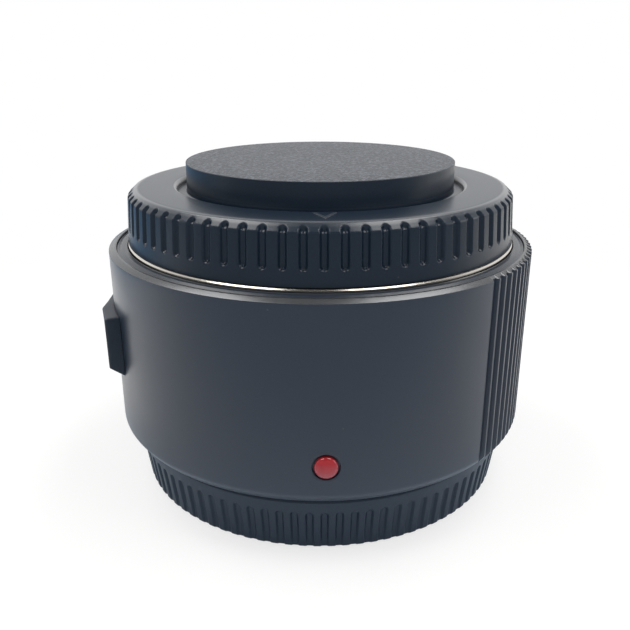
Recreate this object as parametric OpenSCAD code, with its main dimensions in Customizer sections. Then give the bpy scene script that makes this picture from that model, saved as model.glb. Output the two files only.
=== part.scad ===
// Camera teleconverter with its front and rear caps fitted.
// The optical axis is Z with the lens side up. The index mark faces -Y, the grip faces +X and
// the release lever sits on the -X side. The origin is on the axis, at the rear cap's underside.
// Angles around the axis are counted from the index mark, positive towards the grip.

/* [Barrel] */
// Outer diameter of the barrel
barrel_d = 67; // [66:0.5:76]
// Height of the barrel between its two rims
barrel_h = 29.15; // [27:0.25:45]
// Wall of the barrel
barrel_wall = 1.6; // [1.2:0.1:2]
// Width of the bevel at the barrel's lower rim
foot_bevel_w = 0.9; // [0.3:0.1:1.2]
// Height of the bevel at the barrel's lower rim
foot_bevel_h = 1.25; // [0.5:0.05:2]
// Width of the bevel at the barrel's upper rim
top_bevel_w = 0.95; // [0.3:0.05:1]
// Height of the bevel at the barrel's upper rim
top_bevel_h = 0.5; // [0.2:0.1:1.5]
// Width of the ledge that holds the trim ring inside the upper rim
trim_seat_w = 0.45; // [0.3:0.05:0.6]
// Depth of that ledge below the upper rim
trim_seat_depth = 1.5; // [1.2:0.1:1.8]
// Width of the inner rib that sits on the frame
rib_w = 0.8; // [0.5:0.1:1]
// Height of the inner rib
rib_h = 1.2; // [0.8:0.1:2]

/* [Grip] */
// Number of grip grooves
grip_count = 32; // [8:1:36]
// Angle from one groove to the next
grip_step_angle = 3; // [2.5:0.1:4]
// Angle of the middle of the grip
grip_angle = 90; // [80:1:110]
// Width of a groove at the surface
groove_w = 1.3; // [0.6:0.1:1.4]
// Width of a groove at its floor
groove_floor_w = 0.9; // [0.3:0.1:1]
// Depth of a groove
groove_depth = 0.55; // [0.2:0.05:0.9]

/* [Index dome] */
// Diameter of the red dome
dome_d = 3.3; // [2.5:0.1:5]
// Rise of the dome above the barrel
dome_rise = 0.75; // [0.3:0.05:1.2]
// Height of the dome's centre above the barrel's lower rim
dome_z = 5.85; // [4:0.05:10]
// Diameter of the dome's stem
dome_stem_d = 2; // [1:0.1:2.4]
// Depth of the round recess that the dome sits in
dome_seat_depth = 0.6; // [0.3:0.1:1]
// Gap around the dome in its recess
dome_gap = 0.3; // [0.1:0.05:0.6]

/* [Front mount] */
// Distance from the barrel's inner face to the front mount's throat
throat_inset = 6.1; // [5.9:0.05:6.6]
// Width of the front mount's flange
flange_w = 4.7; // [4.5:0.1:5]
// Thickness of the front mount ring
front_ring_t = 2.2; // [2:0.1:2.8]
// Rise of the front mount's face above the barrel
flange_rise = 0.5; // [0.3:0.05:1]
// Bevel at the front mount's outer edge
ring_edge = 0.22; // [0.1:0.02:0.4]
// Width of the step that holds the trim ring down
ring_step_w = 0.6; // [0.4:0.1:0.8]
// Height of that step above the ring's underside
ring_step_h = 0.8; // [0.5:0.1:1.2]
// Reach of the bayonet claws into the throat
claw_reach = 1.4; // [1:0.1:1.6]
// Thickness of the bayonet claws
claw_t = 1.4; // [1:0.1:1.6]
// Depth of the claws below the mount's face
claw_drop = 0.3; // [0.1:0.1:0.4]
// Angle that one claw or lug covers
claw_angle = 38; // [25:1:40]
// Diameter of the front index dot
index_dot_d = 1.6; // [1:0.1:2]
// Depth of the front index dot
index_dot_t = 0.5; // [0.3:0.1:1]
// Width of the leaf springs under the mount ring
leaf_w = 2; // [1.6:0.1:2.2]
// Thickness of the leaf springs under the mount ring
leaf_t = 0.25; // [0.15:0.05:0.4]
// Angle that one leaf spring covers
leaf_angle = 34; // [20:1:36]

/* [Rear mount] */
// Thickness of the rear mount's flange
rear_ring_t = 1.75; // [1.5:0.05:3]
// Gap between the rear bayonet tube and the claws of a mount like the front one
tube_gap = 0.2; // [0.1:0.05:0.6]
// Wall of the rear bayonet tube
rear_tube_wall = 1.4; // [1:0.1:1.6]
// Length of the rear bayonet tube below the flange
rear_tube_h = 5.2; // [4.8:0.1:5.8]
// Reach of the rear bayonet lugs
lug_reach = 1.4; // [1:0.1:1.6]
// Thickness of the rear bayonet lugs
lug_t = 1.4; // [1:0.1:1.6]
// Width of the rubber gasket around the mount
gasket_w = 0.9; // [0.6:0.1:1.5]
// Rise of the gasket past the rear flange
gasket_rise = 0.1; // [0.05:0.05:0.15]

/* [Mount screws] */
// Number of screws in each mount
screw_count = 4; // [3:1:4]
// Diameter of a screw head
screw_head_d = 2.6; // [2:0.1:2.8]
// Diameter of a screw shank
screw_d = 1.4; // [1:0.1:1.6]
// Length of a mount screw
screw_l = 3.6; // [3.2:0.1:4]
// Distance from the throat to the circle of the mount screws
screw_inset = 2.3; // [2.2:0.1:2.5]

/* [Front cap] */
// Inset of the front cap's lower rim from the front mount's edge
cap_inset = 0.06; // [0:0.02:0.4]
// Draft of the front cap's wall on the radius
cap_draft = 0.44; // [0:0.02:0.8]
// Height of the front cap's wall
cap_wall_h = 7; // [5.5:0.1:9]
// Width of the sloping shoulder
cap_shoulder_w = 1.7; // [1.2:0.1:2]
// Height of the sloping shoulder
cap_shoulder_h = 1.1; // [0.6:0.1:1.6]
// Width of the gentle crest above the shoulder's slope
crest_w = 0.65; // [0.3:0.05:0.9]
// Height of the gentle crest above the shoulder's slope
crest_h = 0.15; // [0.05:0.05:0.3]
// Height of the raised disc above the shoulder
disc_h = 3.53; // [2.8:0.01:6]
// Width of the moat around the disc
moat_w = 1.85; // [1:0.05:2.2]
// Depth of the moat around the disc
moat_depth = 1; // [0.4:0.1:1.2]
// Bevel at the raised disc's upper edge
disc_edge = 0.12; // [0.05:0.01:0.4]
// Wall of the raised disc
dome_wall = 1.6; // [1.2:0.1:2]
// Roof of the front cap under its shoulder
cap_roof = 1.85; // [1.5:0.05:2.2]
// Number of finger slots on the front cap
cap_slots = 72; // [24:1:80]
// Width of a finger slot
cap_slot_w = 1.4; // [0.6:0.1:1.6]
// Depth of a finger slot
cap_slot_depth = 0.9; // [0.5:0.05:1]
// Height of a finger slot's lower end above the rim
cap_slot_z = 2; // [1:0.1:3]
// Wall of the front cap's bayonet tube
cap_tube_wall = 1.8; // [1.2:0.1:2]
// Thickness of the front cap's bayonet lugs
cap_lug_t = 1.3; // [1:0.1:1.6]

/* [Rear cap] */
// Inset of the rear cap's underside from the barrel's surface
rear_cap_inset = 3.5; // [2.8:0.1:4]
// Height of the rear cap
rear_cap_h = 9.45; // [9:0.05:12]
// Draft of the rear cap's wall on the radius
rear_cap_draft = 1.35; // [0.4:0.05:1.4]
// Wall of the rear cap at its underside
rear_cap_wall = 1.7; // [1.4:0.1:2.2]
// Floor of the rear cap
rear_cap_floor = 1.8; // [1:0.1:2.4]
// Bevel at the rear cap's lower edge
rear_cap_bevel = 0.35; // [0.1:0.05:0.6]
// Number of finger slots on the rear cap
rear_slots = 90; // [30:1:96]
// Width of a finger slot on the rear cap
rear_slot_w = 1.1; // [0.5:0.1:1.3]
// Depth of a finger slot on the rear cap
rear_slot_depth = 0.3; // [0.2:0.05:0.7]
// Height of the finger slots on the rear cap
rear_slot_h = 6.5; // [4:0.1:7.5]
// Thickness of the rear cap's claws
rear_claw_t = 1.6; // [1:0.1:1.8]

/* [Release lever] */
// Reach of the lever above the barrel
lever_reach = 2.05; // [1.4:0.05:3]
// Height of the lever where it meets the barrel
lever_h = 9.6; // [8.5:0.1:12]
// Depth of the lever's top below the barrel's upper rim
lever_drop = 8.9; // [7:0.1:11]
// Rise of the lever's slanted lower edge
lever_slant = 1.6; // [0:0.1:2]
// Angle of the lever's steep side
lever_angle = -64; // [-70:1:-55]
// Angle that the lever's outer flat covers
flat_angle = 9; // [6:0.5:12]
// Angle that the lever's tail covers
tail_angle = 20; // [18:0.5:26]
// Thickness of the tail's end
lever_tip = 0.15; // [0.1:0.05:0.4]
// Travel of the lever around the axis
travel_angle = 8; // [4:0.5:8]
// Angle that the lever's stem covers
stem_angle = 8; // [6:0.5:9]
// Height of the lever's stem
stem_h = 3.8; // [3:0.1:4.5]
// Depth of the stem's upper side below the lever's top
stem_drop = 3.4; // [3:0.1:4]
// Thickness of the slider behind the barrel
slider_t = 1.2; // [0.8:0.1:1.4]
// Angle that the slider covers
slider_angle = 38; // [36:1:44]
// Diameter of a lever screw
lever_screw_d = 1; // [0.8:0.1:1.2]
// Diameter of a lever screw's head
lever_screw_head_d = 1.8; // [1.4:0.1:2]
// Height of a lever screw's head
lever_screw_head_h = 0.6; // [0.4:0.05:0.7]
// Length of a lever screw inside the stem
lever_screw_grip = 1.6; // [1.2:0.1:1.8]

/* [Lens lock] */
// Diameter of the lock pin's tip
lock_tip_d = 1.8; // [1.4:0.1:2]
// Rise of the lock pin above the front mount
lock_rise = 1; // [0.6:0.1:1.4]
// Diameter of the lock pin's body
lock_body_d = 2.6; // [2.2:0.1:2.6]
// Length of the lock pin's body
lock_body_h = 6.6; // [6:0.1:7.5]
// Travel of the lock pin
lock_travel = 2; // [1.5:0.1:2.2]
// Angle of the lock pin
lock_angle = -82; // [-84:1:-80]
// Diameter of the follower that runs in the cam slot
follower_d = 1.4; // [1:0.1:1.6]
// Diameter of the spring wire
spring_wire_d = 0.35; // [0.25:0.05:0.4]
// Number of turns of the spring
spring_turns = 6; // [4:0.5:6.5]
// Length of the spring at rest
spring_h = 6.4; // [6:0.1:7]
// Height of the follower above the lower end of the lock pin's body
follower_rise = 1.6; // [1.2:0.1:2]

/* [Contacts] */
// Number of contacts
contact_count = 10; // [6:1:11]
// Angle from one contact to the next
contact_step_angle = 6.2; // [5.5:0.1:6.5]
// Angle of the middle of the contacts
contact_angle = 180; // [165:1:195]
// Diameter of a front contact pin
contact_d = 1; // [0.7:0.05:1.2]
// Travel of the front contact pins
contact_travel = 0.6; // [0.3:0.1:0.7]
// Rise of the pins above their block
contact_rise = 0.9; // [0.8:0.1:1]
// Length of a front contact pin inside its block
contact_depth = 1.6; // [1.2:0.1:1.8]
// Thickness of the front contact block
front_block_t = 3.1; // [2.8:0.1:3.4]
// Height of the rear contact block
rear_block_h = 4; // [3:0.1:4.6]
// Diameter of a rear contact pad
pad_d = 1.3; // [0.8:0.1:1.4]
// Thickness of a rear contact pad
pad_t = 0.3; // [0.2:0.05:0.5]

/* [Frame and circuit] */
// Thickness of the frame's rear flange
frame_rear_t = 2; // [1.6:0.1:2.6]
// Thickness of the frame's front flange
frame_front_t = 2.4; // [2:0.1:2.8]
// Wall of the frame around the throat
frame_wall = 1.3; // [1:0.1:1.3]
// Height of the web that holds the lens cells above the frame's rear face
web_z = 10.6; // [10.2:0.1:11]
// Thickness of the web
web_t = 2; // [1.8:0.1:2.4]
// Height of the posts under the circuit board
post_h = 1.5; // [0.8:0.1:2]
// Diameter of those posts
post_d = 2.2; // [1.6:0.1:2.4]
// Angle from the middle post to the next
post_angle = 67; // [50:1:70]
// Thickness of the circuit board
board_t = 0.8; // [0.6:0.1:1.2]
// Width of the circuit board
board_w = 2.8; // [2.4:0.1:2.9]
// Angle that the circuit board covers
board_angle = 160; // [150:1:170]
// Height of the chips on the board
chip_h = 1; // [0.6:0.1:1.6]
// Length of a chip
chip_l = 4; // [2:0.1:5]
// Width of a chip
chip_w = 2; // [1.4:0.1:2.2]
// Angle from one chip to the next
chip_angle = 26; // [20:1:30]
// Thickness of the flexible circuit
flex_t = 0.2; // [0.1:0.05:0.25]
// Angle that the flexible circuit covers
flex_angle = 16; // [10:1:20]

/* [Lens cells] */
// Rise of the front lens nose above the front mount
nose_rise = 7.5; // [6.5:0.1:7.5]
// Wall of the front lens nose
nose_wall = 2.9; // [2.4:0.1:3.4]
// Length of the nose before the cell widens
nose_h = 6.8; // [6.4:0.1:7]
// Step in radius from the nose to the cell
nose_step = 1.9; // [1.4:0.1:2]
// Gap between the nose and the raised disc of the front cap
nose_gap = 0.8; // [0.6:0.1:1.2]
// Distance from the front cap's bayonet tube in to the front cell
cell_room = 1.8; // [1.5:0.1:2]
// Width of the ledges that the glass rests on
ledge_w = 1.2; // [0.8:0.1:1.4]
// Thickness of the wall between the triplet and the rear element
ledge_t = 3; // [2.6:0.1:3.2]
// Thickness of the cells' fixing flanges
cell_flange_t = 2; // [1.6:0.1:2.4]
// Width of the cells' fixing flanges
cell_flange_w = 2.7; // [2.6:0.1:2.8]
// Wall of the rear lens cell around the rear glass
rear_cell_wall = 2.75; // [2:0.05:3.4]
// Thickness of the rear light mask
mask_t = 0.8; // [0.5:0.1:1.2]
// Width of the rear light mask's window
window_w = 26; // [20:0.5:28]
// Height of the rear light mask's window
window_h = 18; // [12:0.5:20]
// Height of a retaining ring
retainer_h = 0.9; // [0.6:0.1:1]
// Diameter of a cell screw's head
cell_screw_head_d = 2.2; // [1.8:0.1:2.3]
// Height of a cell screw's head
cell_screw_head_h = 0.8; // [0.5:0.1:1]

/* [Glass] */
// Depth of the front element's edge below the nose's rim
front_glass_depth = 2.4; // [2.2:0.1:2.8]
// Edge thickness of the front element
front_glass_t = 2.8; // [2:0.1:3]
// Bulge of the front element's outer face
front_glass_bulge = 1.7; // [1:0.1:1.9]
// Hollow of the front element's inner face
front_glass_hollow = 0.5; // [0.3:0.1:1]
// Height of the spacer ring under the front element
spacer_h = 1; // [0.6:0.1:1.6]
// Edge thickness of the doublet's hollow element
doublet_a_t = 5.3; // [5:0.1:6]
// Hollow of the doublet's outer face
doublet_hollow = 1.2; // [0.6:0.1:1.4]
// Bulge of the doublet's cemented face
doublet_cement = 2.7; // [2:0.1:2.8]
// Edge thickness of the doublet's full element
doublet_b_t = 1.7; // [1.2:0.1:2.4]
// Bulge of the doublet's inner face
doublet_bulge = 1.3; // [0.6:0.1:1.6]
// Diameter of the triplet
triplet_d = 26; // [22:0.5:28]
// Edge thickness of the triplet's first element
triplet_a_t = 1.4; // [1:0.1:1.6]
// Bulge of the triplet's first face
triplet_bulge_a = 1.2; // [0.8:0.1:1.4]
// Bulge of the triplet's first cemented face
triplet_cement_a = 1.6; // [1:0.1:1.7]
// Edge thickness of the triplet's hollow element
triplet_b_t = 4; // [3.7:0.1:4.2]
// Bulge of the triplet's second cemented face
triplet_cement_b = 1.4; // [1:0.1:1.5]
// Edge thickness of the triplet's last element
triplet_c_t = 1.2; // [1:0.1:1.6]
// Bulge of the triplet's last face
triplet_bulge_b = 0.9; // [0.5:0.1:1]
// Edge thickness of the rear element
rear_glass_t = 2.2; // [1.6:0.1:2.4]
// Bulge of the rear element's inner face
rear_glass_bulge_a = 0.5; // [0.3:0.1:0.6]
// Bulge of the rear element's outer face
rear_glass_bulge_b = 1.2; // [0.6:0.1:1.2]

/* [Clearances] */
// Gap between each cap's rim and its mount
cap_gap = 0.2; // [0.15:0.05:0.3]
// Gap around bayonet lugs and tubes
bayonet_gap = 0.3; // [0.2:0.05:0.35]
// Gap between the lever and the barrel
lever_gap = 0.15; // [0.1:0.05:0.3]
// Gap at each end of a moving piece's slot
slot_gap = 0.25; // [0.15:0.05:0.35]
// Radial clearance of pins and pistons
pin_gap = 0.08; // [0.03:0.01:0.1]
// Gap around pressed, glued and screwed pieces
seat_gap = 0.04; // [0.02:0.01:0.06]
// Gap around parts that only need room
room_gap = 0.3; // [0.2:0.05:0.35]
// Gap on each side of the trim ring
trim_gap = 0.15; // [0.1:0.05:0.2]
// Play of sliding pieces along their guides
guide_gap = 0.1; // [0.06:0.01:0.14]

/* [Hidden] */
$fn = 128;

// Length by which a cutting shape runs past what it cuts
cut = 1;
// Length by which two shapes of one piece run into each other
bond = 0.3;
// Number of straight steps in the outline of a lens face
lens_steps = 12;
// Number of straight steps in the moat of the front cap
moat_steps = 5;
// Angle of a quarter of a turn
quarter_turn = 90;
// Number of sides of bores, of contacts and of finger slots' round ends
bore_sides = 48;
pin_sides = 32;
slot_sides = 24;
// Number of claws in a mount, which is also the number of leaf springs
claw_count = 4;
// Number of screws in each lens cell
cell_screw_count = 3;
// Angles of the first screw in each mount and of the first leaf spring
front_screw_angle = 30;
rear_screw_angle = 45;
leaf_first_angle = 75;
// Length of the bayonet tubes below their lugs
tube_foot = 0.2;
lug_foot = 0.6;
// Step from the front mount's throat out to the frame's
throat_step = 0.1;
// Metal of the frame beside the lock pin's bore, along the slider and past its ends
lock_wall = 0.4;
guide_t = 0.9;
guide_past_angle = 4;
// Gap between the lock's housing and the slider
slider_gap = 0.2;
// Metal of the slider above the cam slot and below the stem
slider_edge = 1;
// Angle from the lever's outer flat to its stem
stem_inset_angle = 0.8;
// Depth of the follower's end inside the slider
follower_inset = 0.2;
// Room for the rear contact block between the rear tube and the rear cell
block_room = 2.5;
// Depth of the light mask and of the rear contact block inside the rear tube
mask_inset = 0.5;
rear_block_inset = 0.2;
// Rise of the rear pads past their block, of the trim ring past the barrel
pad_rise = 0.05;
trim_rise = 0.05;
// Bevel at the trim ring's outer edge
trim_edge = 0.25;
// Reach of the leaf springs into the throat
leaf_lip = 0.1;
// Part of the web's thickness that a cell screw goes into
thread_part = 0.8;
// Gap between the flexible circuit and the frame, and the height of its tab above the shelf
flex_gap = 0.1;
flex_tab_rise = 1;
// Steps in one turn of the lock spring and sides of its wire
spring_steps = 10;
spring_sides = 6;

// Heights of the main faces
rear_flange_z = rear_cap_h + cap_gap;
barrel_top_z = rear_flange_z + barrel_h;
front_flange_z = barrel_top_z + flange_rise;
frame_rear_z = rear_flange_z + rear_ring_t;
frame_front_z = front_flange_z - front_ring_t;
cap_rim_z = front_flange_z + cap_gap / 2;
shoulder_z = cap_rim_z + cap_wall_h + cap_shoulder_h;
rib_z = frame_rear_z + frame_rear_t;
trim_seat_z = barrel_top_z - trim_seat_depth;

// Radii that follow from the barrel
barrel_r = barrel_d / 2;
barrel_in_r = barrel_r - barrel_wall;
trim_seat_r = barrel_in_r + trim_seat_w;
rib_r = barrel_in_r - rib_w;
rear_ring_r = barrel_in_r - 2 * seat_gap - gasket_w;

// Radii that follow from the front mount's throat
throat_r = barrel_in_r - throat_inset;
front_ring_r = throat_r + flange_w;
front_foot_r = front_ring_r - ring_step_w;
claw_in_r = throat_r - claw_reach;
frame_throat_r = throat_r + throat_step;
frame_r = frame_throat_r + frame_wall;
lock_r = frame_throat_r + lock_wall + lock_body_d / 2 + pin_gap;
housing_r = lock_r + lock_body_d / 2 + pin_gap + lock_wall;
slider_in_r = housing_r + slider_gap;
slider_r = slider_in_r + slider_t;
frame_front_r = slider_r + guide_gap;
screw_r = throat_r + screw_inset;

// Lugs of the front cap and claws of the rear cap
cap_rim_r = front_ring_r - cap_inset;
cap_tube_r = claw_in_r - bayonet_gap;
cap_tube_in_r = cap_tube_r - cap_tube_wall;
cap_lug_r = throat_r - bayonet_gap;
cap_lug_z = front_flange_z - claw_drop - claw_t - bayonet_gap - cap_lug_t;
cap_tube_z = cap_lug_z - tube_foot;
rear_tube_r = claw_in_r - tube_gap;
rear_tube_in_r = rear_tube_r - rear_tube_wall;
rear_lug_z = rear_flange_z - rear_tube_h + lug_foot;
rear_claw_z = rear_lug_z + lug_t + bayonet_gap;
rear_claw_r = rear_tube_r + bayonet_gap;
rear_cap_r = barrel_r - rear_cap_inset;
rear_cap_in_r = rear_cap_r - rear_cap_wall;

// Lens cells, inside the front cap's tube and inside the rear mount
front_cell_r = cap_tube_in_r - cell_room;
nose_r = front_cell_r - nose_step;
dome_in_r = nose_r + nose_gap;
disc_r = dome_in_r + dome_wall;
nose_top_z = front_flange_z + nose_rise;
front_glass_r = nose_r - nose_wall - seat_gap;
doublet_r = front_glass_r - ledge_w;
front_glass_z = nose_top_z - front_glass_depth;
front_ledge_z = front_glass_z - front_glass_t - seat_gap;
doublet_z = front_ledge_z - seat_gap - spacer_h - seat_gap;
doublet_cement_z = doublet_z - doublet_a_t;
doublet_ledge_z = doublet_cement_z - 2 * seat_gap - doublet_b_t - seat_rise(doublet_r, doublet_bulge);
web_top_z = frame_rear_z + web_z + web_t;
web_bottom_z = frame_rear_z + web_z;
rear_cell_r = rear_tube_in_r - block_room;
rear_cell_z = rear_flange_z - rear_tube_h + mask_inset + mask_t;
rear_glass_r = rear_cell_r - rear_cell_wall - seat_gap;
triplet_r = triplet_d / 2;
triplet_z = web_bottom_z - retainer_h - seat_gap - seat_rise(triplet_r, triplet_bulge_a);
triplet_b_z = triplet_z - triplet_a_t - seat_gap;
triplet_c_z = triplet_b_z - triplet_b_t - seat_gap;
triplet_ledge_z = triplet_c_z - triplet_c_t - seat_gap - seat_rise(triplet_r, triplet_bulge_b);
rear_glass_ledge_z = triplet_ledge_z - ledge_t;
rear_glass_z = rear_glass_ledge_z - rear_glass_bulge_a - seat_gap;
cell_flange_r = rear_cell_r + cell_flange_w;
frame_in_r = cell_flange_r + room_gap;
cell_screw_r = (front_cell_r + frame_in_r) / 2;

// Contact blocks and the circuit between them
shelf_z = cap_tube_z - room_gap - contact_rise - front_block_t;
block_top_z = shelf_z + front_block_t;
block_in_r = front_cell_r + room_gap;
block_r = frame_throat_r - room_gap;
contact_r = (block_in_r + claw_in_r) / 2;
contact_l = contact_rise + contact_depth;
block_angle = (contact_count + 1) * contact_step_angle;
rear_block_z = rear_flange_z - rear_tube_h + rear_block_inset;
rear_block_r = rear_tube_in_r - seat_gap;
rear_block_in_r = rear_cell_r + room_gap;
board_z = rib_z + post_h;
board_r = rib_r - room_gap;
post_r = board_r - board_w / 2;
flex_r = frame_r + flex_gap;
flex_tab_z = shelf_z + flex_tab_rise;

// Lever, slider and lock
lever_in_r = barrel_r + lever_gap;
lever_r = barrel_r + lever_reach;
lever_top_z = barrel_top_z - lever_drop;
lever_z = lever_top_z - lever_h;
stem_start = lever_angle - max(flat_angle, travel_angle) - stem_inset_angle;
stem_mid = stem_start - stem_angle / 2;
stem_z = lever_top_z - stem_drop - stem_h;
lock_body_z = frame_front_z - frame_front_t - guide_gap - lock_body_h;
lock_spring_z = lock_body_z - spring_h;
follower_z = lock_body_z + follower_rise;
cam_run = slider_r * travel_angle * PI / 180;
cam_slope = atan(lock_travel / cam_run);
cam_w = follower_d + 2 * slot_gap;
slider_start = stem_mid + slider_angle / 2;
slider_z = stem_z - slider_edge;
slider_top_z = follower_z + cam_w / 2 + slider_edge;
housing_z = min(slider_z - guide_gap, lock_spring_z) - guide_t;
guide_start = slider_start + guide_past_angle;
guide_end = slider_start - slider_angle - travel_angle - guide_past_angle;

// Lock spring, coiled at an even pitch
spring_r = lock_body_d / 2 - spring_wire_d / 2 - guide_gap;
spring_count = floor(spring_turns * spring_steps);
spring_run = spring_h - spring_wire_d - 2 * seat_gap;

// Angle that a gap covers at a radius
function gap_angle(gap, r) = gap / r * 180 / PI;

// Point at a radius and an angle around the axis
function polar(r, a) = [r * sin(a), -r * cos(a)];

// Quarter of an ellipse around a centre, counted from an angle
function quarter(centre, w, h, steps, from) =
    [for (i = [0 : steps])
        let (a = from + quarter_turn * i / steps)
        [centre[0] + w * cos(a), centre[1] + h * sin(a)]];

// Ring between two radii
module ring(r_in, r_out, z, h) {
    rotate_extrude()
        translate([r_in, z])
            square([r_out - r_in, h]);
}

// Part of a ring that starts at one angle and covers another
module sector(r_in, r_out, z, h, start, span) {
    rotate([0, 0, start - 90])
        rotate_extrude(angle = span)
            translate([r_in, z])
                square([r_out - r_in, h]);
}

// Bayonet claws or lugs, with one centred on the index
module claws(r_in, r_out, z, h, span) {
    for (i = [0 : claw_count - 1])
        sector(r_in, r_out, z, h, 360 / claw_count * i - span / 2, span);
}

// Pieces placed at an angle, with -Y pointing outwards
module at_angle(a) {
    rotate([0, 0, a])
        children();
}

// Cylinder that points outwards from a radius
module radial(d, r, l, z) {
    translate([0, -r, z])
        rotate([90, 0, 0])
            cylinder(d = d, h = l, $fn = bore_sides);
}

// Countersunk screw whose head is flush at its origin, or the hole for it, which widens on past there
module flat_screw(gap = 0) {
    head_r = screw_head_d / 2 + gap;
    shank_r = screw_d / 2 + gap;
    past = gap > 0 ? cut : 0;
    rotate_extrude($fn = bore_sides)
        polygon([
            [0, -screw_l - gap],
            [shank_r, -screw_l - gap],
            [shank_r, shank_r - head_r],
            [head_r + past, past],
            [0, past],
        ]);
}

// Mount screws in a circle, as pieces or as holes
module front_screw_set(gap = 0) {
    for (i = [0 : screw_count - 1])
        at_angle(front_screw_angle + 360 / screw_count * i)
            translate([0, -screw_r, front_flange_z])
                flat_screw(gap);
}

module rear_screw_set(gap = 0) {
    for (i = [0 : screw_count - 1])
        at_angle(rear_screw_angle + 360 / screw_count * i)
            translate([0, -screw_r, rear_flange_z])
                mirror([0, 0, 1])
                    flat_screw(gap);
}

// Screws of the two lens cells, which hold them against the web from both sides
module cell_screw(gap = 0) {
    shank_l = cell_flange_t + web_t * thread_part + gap;
    if (gap == 0)
        cylinder(d = cell_screw_head_d, h = cell_screw_head_h, $fn = bore_sides);
    translate([0, 0, -shank_l])
        cylinder(d = screw_d + 2 * gap, h = shank_l + bond, $fn = bore_sides);
}

module cell_screw_set(gap = 0) {
    step = 360 / cell_screw_count;
    for (i = [0 : cell_screw_count - 1]) {
        at_angle(step * i)
            translate([0, -cell_screw_r, web_top_z + cell_flange_t])
                cell_screw(gap);
        at_angle(step * (i + 0.5))
            translate([0, -cell_screw_r, web_bottom_z - cell_flange_t])
                mirror([0, 0, 1])
                    cell_screw(gap);
    }
}

// Height of a lens face above its edge, positive for a bulge and negative for a hollow
function face_rise(r, bulge, x) =
    let (ball_r = (r * r + bulge * bulge) / (2 * abs(bulge)))
    sign(bulge) * (sqrt(ball_r * ball_r - x * x) - ball_r + abs(bulge));

// Height of a bulging lens face where it meets the ledge or ring that holds it
function seat_rise(r, bulge) = face_rise(r, bulge, r - ledge_w);

// Lens with its edge at a radius and a bulge or hollow on each face
module lens(r, top_z, edge_t, top_bulge, bottom_bulge) {
    top_face = [
        for (i = [0 : lens_steps])
            let (x = r * i / lens_steps)
            [x, top_z + face_rise(r, top_bulge, x)]
    ];
    bottom_face = [
        for (i = [0 : lens_steps])
            let (x = r - r * i / lens_steps)
            [x, top_z - edge_t - face_rise(r, bottom_bulge, x)]
    ];
    rotate_extrude()
        polygon(concat(top_face, bottom_face));
}

// Rear cap: a drafted cup with finger slots outside and four claws inside
module rear_cap() {
    top_r = rear_cap_r + rear_cap_draft;
    slope = rear_cap_draft / rear_cap_h;
    tilt = atan(slope);
    color("#262a31")
    difference() {
        union() {
            rotate_extrude()
                polygon([
                    [0, 0],
                    [rear_cap_r - rear_cap_bevel, 0],
                    [rear_cap_r + slope * rear_cap_bevel, rear_cap_bevel],
                    [top_r, rear_cap_h],
                    [rear_cap_in_r, rear_cap_h],
                    [rear_cap_in_r, rear_cap_floor],
                    [0, rear_cap_floor],
                ]);
            claws(rear_claw_r, rear_cap_in_r + bond, rear_claw_z, rear_claw_t, claw_angle);
        }
        for (i = [0 : rear_slots - 1])
            at_angle(360 / rear_slots * i)
                translate([0, -rear_cap_r, 0])
                    rotate([tilt, 0, 0])
                        rear_cap_slot();
    }
}

module rear_cap_slot() {
    end_z = rear_slot_h - rear_slot_w / 2;
    translate([-rear_slot_w / 2, -cut, -cut])
        cube([rear_slot_w, cut + rear_slot_depth, end_z + cut]);
    translate([0, rear_slot_depth, end_z])
        rotate([90, 0, 0])
            cylinder(d = rear_slot_w, h = cut + rear_slot_depth, $fn = slot_sides);
}

// Rear mount: a flange on the frame, a tube below it and four lugs on the tube
module rear_mount_ring() {
    tube_z = rear_flange_z - rear_tube_h;
    color("#c9c6c0")
    difference() {
        union() {
            rotate_extrude()
                polygon([
                    [rear_tube_in_r, tube_z],
                    [rear_tube_r, tube_z],
                    [rear_tube_r, rear_flange_z],
                    [rear_ring_r, rear_flange_z],
                    [rear_ring_r, frame_rear_z],
                    [rear_tube_in_r, frame_rear_z],
                ]);
            claws(rear_tube_r - bond, rear_tube_r + lug_reach, rear_lug_z, lug_t, claw_angle);
        }
        rear_screw_set(seat_gap);
    }
}

module rear_mount_screws() {
    color("#8d8f92")
        rear_screw_set();
}

module mount_gasket() {
    color("#17181a")
        ring(rear_ring_r + seat_gap, rear_ring_r + seat_gap + gasket_w,
             rear_flange_z - gasket_rise, rear_ring_t + gasket_rise);
}

module rear_contact_block() {
    color("#1c1d20")
    difference() {
        sector(rear_block_in_r, rear_block_r, rear_block_z, rear_block_h,
               contact_angle - block_angle / 2, block_angle);
        rear_pad_set(seat_gap);
    }
}

module rear_contact_pads() {
    color("#d8b04a")
        rear_pad_set();
}

// Gold pads let into the block's lower face, as pieces or as pockets
module rear_pad_set(gap = 0) {
    for (i = [0 : contact_count - 1])
        at_angle(contact_angle + contact_step_angle * (i - (contact_count - 1) / 2))
            translate([0, -(rear_block_in_r + rear_block_r) / 2, rear_block_z - pad_rise])
                cylinder(d = pad_d + 2 * gap, h = pad_t + gap, $fn = pin_sides);
}

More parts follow.
